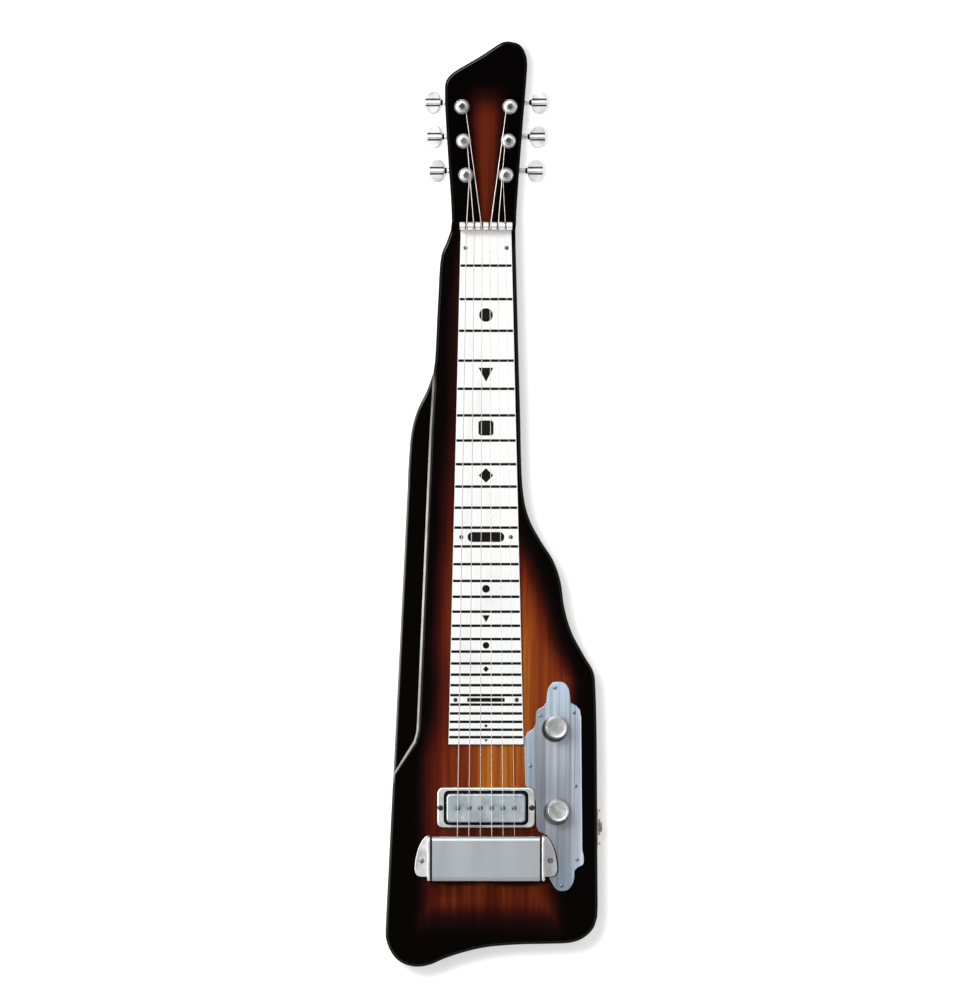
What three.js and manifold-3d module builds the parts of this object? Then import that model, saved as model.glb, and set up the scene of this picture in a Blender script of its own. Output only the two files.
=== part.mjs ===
import * as THREE from 'three';
import { mergeVertices } from 'three/addons/utils/BufferGeometryUtils.js';
import Module from 'manifold-3d';

// Lap steel guitar lying on its flat back, in millimetres.
// The origin is on the back, under the strings' centre line at the saddle.
// +Y runs along the strings to the head, +X to the treble side, +Z up out of the deck.

const wasm = await Module();
wasm.setup();

// Driving dimensions of the wooden body
const scaleLength = 571.5;
const bodyThickness = 44;
const tailLength = 94.3;
const bassReach = 90.9;
const plateMargin = 12.7;
const ledgeDrop = 12;
const edgeRadius = 2.5;
const headLength = 164.1;
const headWidth = 74.6;
const headThickness = 15;
const headDrop = 8;
const headOverlap = 20;

// Fretboard and nut
const boardNutWidth = 45.6;
const boardEndWidth = 67.8;
const boardThickness = 3;
const backingThickness = 1;
const lineMargin = 0.5;
const fretLineWidth = 2.4;
const lastFret = 29;
const nutWidth = 47.2;
const nutLength = 7;
const nutHeight = 13.6;
const nutFloorDrop = 1;
const nutChamfer = 1.6;

// Strings
const stringCount = 6;
const nutPitch = 7.1;
const saddlePitch = 10.45;
const thickestString = 0.91;
const gaugeShares = [0.42, 0.51, 0.62, 0.73, 0.84, 1];
const stringSides = 5;

// Tuning machines
const postRadius = 3;
const postWaist = 2.6;
const postRise = 13.5;
const postCap = 2.5;
const toothCount = 14;
const wheelRadius = 3.3;
const toothDepth = 0.5;
const wormRadius = 1.45;
const threadHeight = 0.5;
const wormTurns = 3;
const wheelThickness = 3;
const shaftRadius = 1.75;
const shaftDrop = 7;
const shaftReach = 19.4;
const bushingRadius = 5;
const bushingHexRadius = 6.4;
const bushingHexHeight = 2.6;
const washerRadius = 7.1;
const washerHeight = 0.8;
const housingWall = 1.6;
const housingDepth = 12.4;
const housingInner = 4.3;
const housingCorner = 2.2;
const collarLength = 9.9;
const collarRadius = 2.9;
const buttonLength = 14.5;
const buttonWidth = 21;
const buttonThickness = 3.6;
const buttonRound = 0.9;
const ribRadius = 2.65;
const ribMargin = 0.6;
const coilTurns = 2;
const coilGap = 0.45;
const coilSteps = 16;
const leadIn = 2.4;
const crossHoleRadius = 0.9;

// Pickup
const pickupShare = 0.0868;
const ringLength = 88;
const ringWidth = 36.5;
const ringHeight = 2.4;
const ringCorner = 5;
const windowLength = 76.4;
const windowWidth = 31;
const windowCorner = 4.5;
const coverLength = 71.8;
const coverWidth = 27;
const coverCorner = 4;
const coverRise = 9;
const coverWall = 0.8;
const coverRound = 1;
const flangeThickness = 1;
const flangeDrop = 1.2;
const flangeLip = 3.8;
const flangeLipWidth = 2.7;
const baseThickness = 1.2;
const bobbinLength = 68;
const bobbinWidth = 23.6;
const bobbinFlange = 1.2;
const bobbinHeight = 11;
const coreWidth = 6.4;
const keeperHeight = 3.2;
const keeperWidth = 3.4;
const magnetWidth = 7;
const poleHeadRadius = 2;
const poleHeadHeight = 0.9;
const poleShankRadius = 1.2;
const pocketDepth = 20;
const ringScrewInset = 2.7;

// Control plate, potentiometers and knobs
const plateLeft = 34.8;
const plateWidth = 53.6;
const plateLength = 189.2;
const plateBottom = -25.7;
const plateThickness = 1.6;
const potRadius = 8;
const potHeight = 9;
const potFloor = 1.5;
const bushRadius = 3.6;
const bushRise = 3.4;
const panelNutHeight = 2;
const panelNutRadius = 7.4;
const spindleRadius = 2.9;
const knobRadius = 10.8;
const knobLift = 0.9;
const knobHeight = 13;
const knobRecessRadius = 8;
const knobRecessHeight = 4.5;
const knobTop = 3;
const knobChamfer = 1.2;
const cavityMargin = 3;
const cavityCorner = 6;
const cavityFloor = 10;
const wireHoleRadius = 3;

// Output jack on the treble side
const jackShare = 0.055;
const jackHeight = 22;
const jackSeat = 0.8;
const jackPlateLength = 38;
const jackPlateWidth = 24;
const jackPlateThickness = 1.6;
const jackPlateCorner = 5;
const jackCanRadius = 8.5;
const jackCanLength = 20;
const jackBushRise = 3.6;
const jackBushRadius = 4.7;
const jackBoreRadius = 3.3;
const jackWall = 1;
const jackBoreMargin = 1.6;
const jackScrewInset = 4;

// Bridge and hand rest
const bridgeLength = 78;
const bridgeFront = 19;
const bridgeBack = 10;
const bridgeThickness = 2;
const anchorThickness = 2;
const anchorRise = 9;
const anchorHole = 1.1;
const anchorHoleRise = 5.6;
const ballRadius = 1.7;
const ballLength = 3.4;
const saddleLength = 68;
const saddleWidth = 8;
const saddleHeight = 12;
const saddleStep = 3.2;
const saddleBackShare = 0.75;
const restWidth = 106.3;
const restFront = 24.2;
const restBack = 16;
const restHeight = 25;
const restWall = 1.2;
const restLip = 6.5;
const restRound = 4;
const cheekWall = 3;
const earReach = 11.4;
const earBack = 12.6;
const earThickness = 1.4;
const earScrewReach = 5;
const earScrewY = 1.9;

// Screws
const boardScrewHead = 1.9;
const boardScrewShank = 1;
const boardScrewLength = 9;
const screwHead = 2.1;
const screwShank = 1.1;
const screwLength = 10;
const smallHeadHeight = 1;
const headHeight = 1.4;
const bigHead = 2.6;
const bigShank = 1.4;
const bigScrewLength = 13;

// Wires and capacitor
const wireRadius = 0.8;
const wireBend = 5;
const capacitorLength = 9;
const capacitorWidth = 5;
const capacitorHeight = 7;

// Clearances and facets
const fit = 0.05;
const running = 0.08;
const loose = 0.3;
const overrun = 1;
const mergeGap = 0.0001;
const curveSteps = 2;
const bodyRoundSteps = 2;
const fineSides = 18;
const plainSides = 12;
const hexSides = 6;
const screwSides = 6;
const wormSteps = 6;
const wireSides = 4;
const roomSides = 8;
const restSteps = 3;

// Heights that several pieces share
const deckZ = bodyThickness;
const ledgeZ = deckZ - ledgeDrop;
const headFaceZ = deckZ - headDrop;
const headBackZ = headFaceZ - headThickness;
const nutFloorZ = deckZ + nutHeight - nutFloorDrop;
const saddleTopZ = deckZ + bridgeThickness + saddleHeight;
const shaftZ = headBackZ - shaftDrop;
const bushingTopZ = headFaceZ + washerHeight + bushingHexHeight;
const postTopZ = headFaceZ + postRise;
const plateTopZ = deckZ + plateThickness;
const neckEnd = scaleLength + nutLength;
const boardEnd = fretAt(lastFret);
const plateRight = plateLeft + plateWidth;
const trebleReach = plateRight + plateMargin;
const pickupY = pickupShare * scaleLength;
const jackY = jackShare * scaleLength;

// The distance from the saddle to a fret line
function fretAt(number) {
  return scaleLength / 2 ** (number / 12);
}

// Half of the fretboard's width at a distance from the saddle
function boardHalfAt(y) {
  const taper = (boardEndWidth - boardNutWidth) / 2 / (scaleLength - boardEnd);
  return boardNutWidth / 2 + taper * (scaleLength - y);
}

// Solids from geometry, and geometry from solids
function solidOf(geometry) {
  const bare = geometry.clone();
  bare.deleteAttribute('normal');
  bare.deleteAttribute('uv');
  const merged = mergeVertices(bare, mergeGap);
  return new wasm.Manifold(new wasm.Mesh({
    numProp: 3,
    vertProperties: new Float32Array(merged.attributes.position.array),
    triVerts: new Uint32Array(merged.index.array),
  }));
}

function geometryOf(solid) {
  const mesh = solid.getMesh();
  const geometry = new THREE.BufferGeometry();
  geometry.setAttribute('position', new THREE.BufferAttribute(mesh.vertProperties, 3));
  geometry.setIndex(new THREE.BufferAttribute(mesh.triVerts, 1));
  geometry.computeVertexNormals();
  return geometry;
}

function joined(solids) {
  return solids.reduce((whole, solid) => whole.add(solid));
}

function without(solid, cutters) {
  return cutters.length === 0 ? solid : solid.subtract(joined(cutters));
}

function moved(geometry, x, y, z) {
  return geometry.translate(x, y, z);
}

// Outlines
function point(x, y) {
  return new THREE.Vector2(x, y);
}

function smooth(places, steps = curveSteps) {
  const nodes = places.map((place) => new THREE.Vector3(place.x, place.y, 0));
  const curve = new THREE.CatmullRomCurve3(nodes, false, 'centripetal');
  return curve.getPoints((places.length - 1) * steps).map((place) => point(place.x, place.y));
}

function circle(x, y, radius, sides) {
  const places = [];
  for (let index = 0; index < sides; index += 1) {
    const angle = (index + 0.5) / sides * 2 * Math.PI;
    places.push(point(x + radius * Math.cos(angle), y + radius * Math.sin(angle)));
  }
  return places;
}

function roundedRectangle(x, y, length, width, radius, cornerSteps = 2) {
  const places = [];
  for (let corner = 0; corner < 4; corner += 1) {
    const start = corner * Math.PI / 2;
    const signX = corner === 0 || corner === 3 ? 1 : -1;
    const signY = corner < 2 ? 1 : -1;
    const centreX = x + signX * (length / 2 - radius);
    const centreY = y + signY * (width / 2 - radius);
    for (let step = 0; step <= cornerSteps; step += 1) {
      const angle = start + step / cornerSteps * Math.PI / 2;
      places.push(point(centreX + radius * Math.cos(angle), centreY + radius * Math.sin(angle)));
    }
  }
  return places;
}

// An outline moved inwards by a distance, or outwards by a negative one
function inset(outline, distance, sharesOf = () => 1) {
  const count = outline.length;
  return outline.map((place, index) => {
    const before = outline[(index + count - 1) % count];
    const after = outline[(index + 1) % count];
    const arriving = place.clone().sub(before).normalize();
    const leaving = after.clone().sub(place).normalize();
    const first = point(-arriving.y, arriving.x);
    const second = point(-leaving.y, leaving.x);
    const reach = distance * sharesOf(index) / (1 + first.dot(second));
    return place.clone().add(first.add(second).multiplyScalar(reach));
  });
}

// A closed solid through outlines of as many points each, one above the other
function stacked(levels) {
  const count = levels[0].outline.length;
  const positions = [];
  const faces = [];
  for (const level of levels) {
    for (const place of level.outline) {
      positions.push(place.x, place.y, level.z);
    }
  }
  for (let floor = 0; floor < levels.length - 1; floor += 1) {
    for (let index = 0; index < count; index += 1) {
      const here = floor * count + index;
      const next = floor * count + (index + 1) % count;
      faces.push(here, next, next + count, here, next + count, here + count);
    }
  }
  const last = levels.length - 1;
  for (const [a, b, c] of THREE.ShapeUtils.triangulateShape(levels[0].outline, [])) {
    faces.push(a, c, b);
  }
  for (const [a, b, c] of THREE.ShapeUtils.triangulateShape(levels[last].outline, [])) {
    faces.push(last * count + a, last * count + b, last * count + c);
  }
  const geometry = new THREE.BufferGeometry();
  geometry.setAttribute('position', new THREE.Float32BufferAttribute(positions, 3));
  geometry.setIndex(faces);
  return geometry;
}

function slab(outline, low, high) {
  return solidOf(stacked([{ outline, z: low }, { outline, z: high }]));
}

// A slab with its top and bottom edges broken: one step makes a chamfer, more make it round.
// An edge can be broken by a share of its radius at each point of the outline.
function roundedSlab(outline, low, high, top, bottom) {
  const levels = [];
  for (const [edge, z, inwards] of [[bottom, low, 1], [top, high, -1]]) {
    const { radius = 0, steps = 1, shares } = edge;
    for (let step = 0; step <= steps; step += 1) {
      const turn = inwards > 0 ? step : steps - step;
      const angle = turn / steps * Math.PI / 2;
      const depth = radius * (1 - Math.sin(angle));
      const height = z + inwards * radius * (1 - Math.cos(angle));
      levels.push({ outline: inset(outline, depth, shares), z: height });
    }
  }
  const kept = levels.filter((level, index) => index === 0 || level.z - levels[index - 1].z > mergeGap);
  return solidOf(stacked(kept));
}

// A solid of revolution about the Z axis, from [radius, height] pairs that start and end on it
function turned(profile, sides) {
  const places = profile.map(([radius, height]) => point(radius, height));
  const geometry = new THREE.LatheGeometry(places, sides, Math.PI / sides + Math.PI / 2);
  return geometry.rotateX(Math.PI / 2);
}

function cylinder(x, y, radius, low, high, sides) {
  return slab(circle(x, y, radius, sides), low, high);
}

// A block between two corners
function block(lowX, highX, lowY, highY, lowZ, highZ) {
  const geometry = new THREE.BoxGeometry(highX - lowX, highY - lowY, highZ - lowZ);
  return solidOf(moved(geometry, (lowX + highX) / 2, (lowY + highY) / 2, (lowZ + highZ) / 2));
}

// A profile drawn in Y and Z, run along X
function runAlongX(profile, lowX, highX) {
  const geometry = stacked([
    { outline: profile, z: lowX },
    { outline: profile, z: highX },
  ]);
  const turn = new THREE.Matrix4().makeBasis(
    new THREE.Vector3(0, 1, 0), new THREE.Vector3(0, 0, 1), new THREE.Vector3(1, 0, 0),
  );
  return solidOf(geometry.applyMatrix4(turn));
}

// A round tube through a list of places, closed at both ends
const uprightShare = 0.9;

function sweptTube(places, radius, sides) {
  const count = places.length;
  const positions = [];
  const faces = [];
  let side = null;
  places.forEach((place, index) => {
    const before = places[Math.max(index - 1, 0)];
    const after = places[Math.min(index + 1, count - 1)];
    const forward = after.clone().sub(before).normalize();
    if (side === null) {
      const upright = Math.abs(forward.z) > uprightShare;
      const across = upright ? new THREE.Vector3(1, 0, 0) : new THREE.Vector3(0, 0, 1);
      side = across.cross(forward).normalize();
    }
    side.sub(forward.clone().multiplyScalar(side.dot(forward))).normalize();
    const over = forward.clone().cross(side);
    for (let corner = 0; corner < sides; corner += 1) {
      const angle = corner / sides * 2 * Math.PI;
      const spoke = side.clone().multiplyScalar(radius * Math.cos(angle));
      spoke.add(over.clone().multiplyScalar(radius * Math.sin(angle))).add(place);
      positions.push(spoke.x, spoke.y, spoke.z);
    }
  });
  for (let ring = 0; ring < count - 1; ring += 1) {
    for (let corner = 0; corner < sides; corner += 1) {
      const here = ring * sides + corner;
      const next = ring * sides + (corner + 1) % sides;
      faces.push(here, next, next + sides, here, next + sides, here + sides);
    }
  }
  const end = (count - 1) * sides;
  for (let corner = 1; corner < sides - 1; corner += 1) {
    faces.push(0, corner + 1, corner, end, end + corner, end + corner + 1);
  }
  const geometry = new THREE.BufferGeometry();
  geometry.setAttribute('position', new THREE.Float32BufferAttribute(positions, 3));
  geometry.setIndex(faces);
  return geometry;
}

// A screw standing on a seat, and the pilot hole that takes it
function screwAt(x, y, seatZ, size) {
  const profile = [
    [0, -size.length], [size.shank / 2, -size.length], [size.shank, size.shank - size.length],
    [size.shank, 0], [size.head, 0], [size.head, size.height / 2], [size.head / 2, size.height],
    [0, size.height],
  ];
  return solidOf(moved(turned(profile, screwSides), x, y, seatZ));
}

function pilotAt(x, y, seatZ, size) {
  const radius = size.shank + fit;
  const profile = [[0, -size.length - fit], [radius, -size.length - fit], [radius, overrun], [0, overrun]];
  return solidOf(moved(turned(profile, screwSides), x, y, seatZ));
}

const boardScrew = {
  head: boardScrewHead, shank: boardScrewShank, length: boardScrewLength, height: smallHeadHeight,
};
const plateScrew = { head: screwHead, shank: screwShank, length: screwLength, height: headHeight };
const coverScrew = { head: bigHead, shank: bigShank, length: bigScrewLength, height: headHeight };

// Finishes
function finish(color, roughness, metalness) {
  return new THREE.MeshStandardMaterial({ color, roughness, metalness });
}

const sunburst = finish(0x3a1208, 0.25, 0);
const boardWhite = finish(0xf2f2ee, 0.4, 0);
const inlayBlack = finish(0x111111, 0.4, 0);
const chrome = finish(0xd8dadc, 0.15, 1);
const brushed = finish(0x9aa3ab, 0.35, 1);
const steel = finish(0xb8b4ae, 0.3, 1);
const brass = finish(0xb08d4a, 0.35, 1);
const darkPlastic = finish(0x1b1b1d, 0.5, 0);
const copper = finish(0x8a4a22, 0.4, 0.8);
const foam = finish(0x3a3a3c, 0.95, 0);
const magnetGrey = finish(0x4c4d50, 0.6, 0.5);
const wireRed = finish(0x8c1c1c, 0.5, 0);

const guitar = new THREE.Group();
guitar.name = 'lap_steel_guitar';

function addPiece(parent, name, geometry, material) {
  const mesh = new THREE.Mesh(geometry, material);
  mesh.name = name;
  parent.add(mesh);
}

// Outline of the body. Each pair is a share of the scale length from the saddle, and a share of the
// way from the fretboard's edge out to the body's reach on that side.
const trebleShares = [
  [0.273, 0.97], [0.301, 0.944], [0.328, 0.818], [0.365, 0.659], [0.403, 0.571], [0.447, 0.52],
  [0.478, 0.433], [0.51, 0.275], [0.542, 0.146], [0.581, 0.075], [0.731, 0.056], [1.0, 0.048],
];
const neckBassShares = [
  [1.0, 0.133], [0.981, 0.187], [0.961, 0.251], [0.89, 0.286], [0.795, 0.315], [0.776, 0.333],
];
const ledgeEdgeShares = [
  [0.776, 0.333], [0.747, 0.421], [0.716, 0.55], [0.684, 0.629], [0.637, 0.667], [0.589, 0.683],
];
const ledgeEndShare = [0.14, 0.875];
const deckEdgeShares = [[0.776, 0.333], [0.755, 0.344], [0.684, 0.374]];
const deckTurnShares = [[0.222, 0.504], [0.207, 0.514], [0.192, 0.554]];

// Outline of the tail: shares of the reach on each side, and of the tail's length. It begins at the
// foot of the bass side and ends at the foot of the treble side.
const bassFootShare = [-1.0, 0.648];
const trebleFootShare = [1.0, 0.406];
const tailShares = [
  [-0.998, 0.722], [-0.964, 0.823], [-0.895, 0.921], [-0.805, 0.977], [-0.686, 1.0],
  [-0.557, 0.98], [-0.417, 0.923], [-0.258, 0.871], [-0.02, 0.816], [0.268, 0.788], [0.554, 0.78],
  [0.751, 0.77], [0.84, 0.742], [0.912, 0.691], [0.965, 0.622], [0.996, 0.521],
];

// Outline of the head: shares of its width from the strings' centre line, and of its length
const headShares = [
  [0.366, 0], [0.37, 0.055], [0.404, 0.286], [0.448, 0.551], [0.489, 0.782], [0.501, 0.881],
  [0.487, 0.922], [0.453, 0.958], [0.4, 0.985], [0.327, 0.996], [0.242, 1.0], [0.182, 0.992],
  [0.121, 0.975], [-0.048, 0.924], [-0.242, 0.872], [-0.387, 0.832], [-0.46, 0.801],
  [-0.492, 0.771], [-0.499, 0.727], [-0.494, 0.617], [-0.459, 0.352], [-0.421, 0.088], [-0.416, 0],
];

function sidePlace([alongShare, outShare], reach, sign) {
  const y = alongShare * scaleLength;
  const board = boardHalfAt(y);
  return point(sign * (board + outShare * (reach - board)), y);
}

const treblePlace = (pair) => sidePlace(pair, trebleReach, 1);
const bassPlace = (pair) => sidePlace(pair, bassReach, -1);
const headPlace = ([acrossShare, alongShare]) => (
  point(acrossShare * headWidth, neckEnd + alongShare * headLength));
const tailPlace = ([acrossShare, alongShare]) => (
  point(acrossShare * (acrossShare > 0 ? trebleReach : bassReach), -alongShare * tailLength));

const trebleSide = smooth([tailPlace(trebleFootShare), ...trebleShares.map(treblePlace)]);
const headSide = smooth(headShares.map(headPlace));
const neckCorners = [headSide[0], headSide[headSide.length - 1]];
const neckBassSide = smooth(neckBassShares.map(bassPlace));
const ledgeEdge = smooth(ledgeEdgeShares.map(bassPlace));
const ledgeEnd = bassPlace(ledgeEndShare);
const deckEdge = deckEdgeShares.map(bassPlace);
const deckTurn = smooth(deckTurnShares.map(bassPlace));
const tailSide = smooth(tailShares.map(tailPlace));

// The whole silhouette of the body, and the deck above the ledge, both anticlockwise from the tail
const beforeLedge = [...trebleSide, ...neckCorners, ...neckBassSide];
const afterLedge = [ledgeEnd, tailPlace(bassFootShare), ...tailSide];
const silhouette = [...beforeLedge, ...ledgeEdge.slice(1), ...afterLedge];
const deckOutline = [...beforeLedge, ...deckEdge.slice(1), ...deckTurn, ...afterLedge];

// The place of the body's treble edge at a height along the strings
function trebleEdgeAt(y) {
  const index = trebleSide.findIndex((place) => place.y > y);
  const low = trebleSide[index - 1];
  const high = trebleSide[index];
  return low.x + (high.x - low.x) * (y - low.y) / (high.y - low.y);
}

// Where the posts stand on the head: shares of its length and of its width
const postShares = [[0.262, 0.243], [0.45, 0.272], [0.639, 0.292]];

// Each string with its radius, its post and the side that it goes to
const strings = gaugeShares.map((share, index) => {
  const radius = thickestString * share / 2;
  const offset = (stringCount - 1) / 2 - index;
  const side = Math.sign(offset);
  const row = (stringCount - 1) / 2 - Math.abs(offset);
  const [alongShare, acrossShare] = postShares[row];
  return {
    number: index + 1,
    radius,
    side,
    saddleX: offset * saddlePitch,
    nut: new THREE.Vector3(offset * nutPitch, scaleLength, nutFloorZ + radius),
    post: point(side * acrossShare * headWidth, neckEnd + alongShare * headLength),
    coilRadius: postWaist + radius + loose / 2,
    coilZ: bushingTopZ + loose + thickestString / 2,
    pitch: 2 * radius + coilGap,
  };
});

// The line from the nut that touches a string's winding on the inner side of its post
for (const string of strings) {
  const away = string.post.clone().sub(point(string.nut.x, string.nut.y));
  const reach = Math.sqrt(away.lengthSq() - string.coilRadius ** 2);
  const turn = Math.asin(string.coilRadius / away.length()) * string.side;
  string.direction = away.clone().normalize().rotateAround(point(0, 0), turn);
  string.touch = point(string.nut.x, string.nut.y).addScaledVector(string.direction, reach);
}

// Body of solid wood, with its pockets, bores and pilot holes
const onPlate = ([acrossShare, alongShare]) => (
  point(plateLeft + acrossShare * plateWidth, plateBottom + alongShare * plateLength));
const knobShares = [[0.54, 0.782], [0.567, 0.384]];
const plateScrewShares = [
  [0.513, 0.972], [0.265, 0.838], [0.835, 0.853], [0.093, 0.597], [0.86, 0.501], [0.885, 0.151],
  [0.619, 0.026],
];
const potPlaces = knobShares.map(onPlate);
const plateScrewPlaces = plateScrewShares.map(onPlate);
const boardScrewShares = [[1, 0.8], [12, 0.76], [24, 0.84]];
const boardScrewPlaces = boardScrewShares.flatMap(([fret, outShare]) => {
  const y = (fretAt(fret - 1) + fretAt(fret)) / 2;
  return [-1, 1].map((sign) => point(sign * outShare * boardHalfAt(y), y));
});
const ringScrewPlaces = [-1, 1].map((sign) => point(sign * (ringLength / 2 - ringScrewInset), pickupY));
const earScrewPlaces = [-1, 1].map((sign) => point(sign * (restWidth / 2 + earScrewReach), earScrewY));
const bridgeScrewShares = [0.38, 0.78];
const bridgeScrewPlaces = [-1, 1].flatMap((sign) => (
  bridgeScrewShares.map((share) => point(sign * share * bridgeLength / 2, bridgeFront - bridgeBack / 2))));

const pocketLength = coverLength + 2 * flangeLip + 2 * loose;
const pocketWidth = coverWidth + 2 * flangeLipWidth + 2 * loose;
const cavityLow = jackY - jackCanRadius - jackBoreMargin - loose;
const cavityHigh = potPlaces[0].y + potRadius + cavityMargin / 2;
const cavityX = (potPlaces[0].x + potPlaces[1].x) / 2;
const cavityWidth = 2 * (potRadius + cavityMargin);
const jackSeatX = trebleEdgeAt(jackY) - jackSeat;
const postHoleRadius = bushingRadius + fit * 2;

function bodySolid() {
  const ledgePoints = ledgeEdge.length - 1;
  const onLedge = (index) => (
    index >= beforeLedge.length && index < beforeLedge.length + ledgePoints ? 1 : 0);
  const firstCorner = trebleSide.length;
  const awayFromNut = (index) => (index >= firstCorner - 1 && index <= firstCorner + 2 ? 0 : 1);
  const round = { radius: edgeRadius, steps: bodyRoundSteps };
  const chamfer = { radius: edgeRadius };
  const lower = roundedSlab(silhouette, 0, ledgeZ, { ...chamfer, shares: onLedge }, chamfer);
  const deck = roundedSlab(deckOutline, ledgeZ, deckZ, { ...round, shares: awayFromNut }, {});
  const tenon = [
    point(headSide[headSide.length - 1].x + edgeRadius, neckEnd - headOverlap),
    point(headSide[0].x - edgeRadius, neckEnd - headOverlap),
  ];
  const headOutline = [...headSide, ...tenon];
  const onHead = (index) => (index > 0 && index < headSide.length - 1 ? 1 : 0);
  const head = roundedSlab(
    headOutline, headBackZ, headFaceZ, { ...chamfer, shares: onHead }, { ...chamfer, shares: onHead });

  const pocket = slab(
    roundedRectangle(0, pickupY, pocketLength, pocketWidth, windowCorner),
    deckZ - pocketDepth, deckZ + overrun);
  const cavity = slab(
    roundedRectangle(
      cavityX, (cavityLow + cavityHigh) / 2, cavityWidth, cavityHigh - cavityLow, cavityCorner),
    cavityFloor, deckZ + overrun);
  const channelZ = deckZ - pocketDepth + wireHoleRadius + overrun;
  const channel = lyingCylinder(pickupY, channelZ, wireHoleRadius, 0, cavityX, screwSides);
  const jackBore = lyingCylinder(
    jackY, jackHeight, jackCanRadius + jackBoreMargin, cavityX, trebleReach + overrun, plainSides);
  const jackRecess = block(
    jackSeatX, trebleReach + overrun,
    jackY - jackPlateLength / 2 - loose, jackY + jackPlateLength / 2 + loose,
    jackHeight - jackPlateWidth / 2 - loose, jackHeight + jackPlateWidth / 2 + loose);
  const cutters = [pocket, cavity, channel, jackBore, jackRecess];
  for (const string of strings) {
    const { x, y } = string.post;
    cutters.push(cylinder(x, y, postHoleRadius, headBackZ - overrun, headFaceZ + overrun, plainSides));
    cutters.push(pilotBelow(x - string.side * tunerScrewX, y));
  }
  for (const place of boardScrewPlaces) {
    cutters.push(pilotAt(place.x, place.y, deckZ + boardThickness, boardScrew));
  }
  for (const place of plateScrewPlaces) {
    cutters.push(pilotAt(place.x, place.y, plateTopZ, plateScrew));
  }
  for (const place of bridgeScrewPlaces) {
    cutters.push(pilotAt(place.x, place.y, deckZ + bridgeThickness, plateScrew));
  }
  for (const place of ringScrewPlaces) {
    cutters.push(pilotAt(place.x, place.y, deckZ + ringHeight, coverScrew));
  }
  for (const place of earScrewPlaces) {
    cutters.push(pilotAt(place.x, place.y, deckZ + earThickness, coverScrew));
  }
  for (const y of jackScrewYs) {
    cutters.push(lyingPilot(y, jackHeight, jackSeatX + jackPlateThickness));
  }
  return without(joined([lower, deck, head]), cutters);
}

// A screw's clearance hole through a plate that lies on the deck
function holeThrough(place, shank, top) {
  return cylinder(place.x, place.y, shank + loose, deckZ - overrun, top + overrun, screwSides);
}

// Cylinders and screws that lie along X
function lyingCylinder(y, z, radius, lowX, highX, sides) {
  return runAlongX(circle(y, z, radius, sides), lowX, highX);
}

const jackScrewYs = [-1, 1].map((sign) => jackY + sign * (jackPlateLength / 2 - jackScrewInset));

function lying(solid, y, z, x) {
  const turn = new THREE.Matrix4().makeBasis(
    new THREE.Vector3(0, 1, 0), new THREE.Vector3(0, 0, 1), new THREE.Vector3(1, 0, 0),
  );
  return solidOf(moved(geometryOf(solid).applyMatrix4(turn), x, y, z));
}

function lyingPilot(y, z, seatX) {
  return lying(pilotAt(0, 0, 0, plateScrew), y, z, seatX);
}

// Screws that hold the tuners' casings, driven up from below into the head
const tunerScrewX = housingInner + housingWall + screwHead;

function flipped(solid) {
  return solidOf(geometryOf(solid).rotateX(Math.PI));
}

function pilotBelow(x, y) {
  const hole = flipped(pilotAt(0, 0, 0, boardScrew));
  return solidOf(moved(geometryOf(hole), x, y, headBackZ - housingWall));
}

addPiece(guitar, 'body', geometryOf(bodySolid()), sunburst);

// Fretboard with its inlaid lines and markers. Each marker has its fret, its figure, its height as a
// share of the space before that fret, and its width as a share of its height.
const markerShares = [
  [3, 'disc', 0.44, 1], [5, 'triangle', 0.5, 1.05], [7, 'block', 0.6, 1], [9, 'diamond', 0.66, 1],
  [12, 'pill', 0.53, 3.7], [15, 'disc', 0.5, 1], [17, 'triangle', 0.5, 1.1], [19, 'disc', 0.54, 1],
  [21, 'diamond', 0.55, 1], [24, 'block', 0.42, 9.5], [27, 'diamond', 0.46, 1],
  [29, 'triangle', 0.42, 1.2],
];
const blockCornerShare = 0.125;
const pillCornerShare = 0.476;
const pillSteps = 3;

function markerOutline(kind, y, height, width) {
  const left = -width / 2;
  const right = width / 2;
  const low = y - height / 2;
  const high = y + height / 2;
  const outlines = {
    disc: () => circle(0, y, height / 2, plainSides),
    triangle: () => [point(left, high), point(0, low), point(right, high)],
    diamond: () => [point(left, y), point(0, low), point(right, y), point(0, high)],
    block: () => roundedRectangle(0, y, width, height, height * blockCornerShare, 1),
    pill: () => roundedRectangle(0, y, width, height, height * pillCornerShare, pillSteps),
  };
  return outlines[kind]();
}

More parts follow.
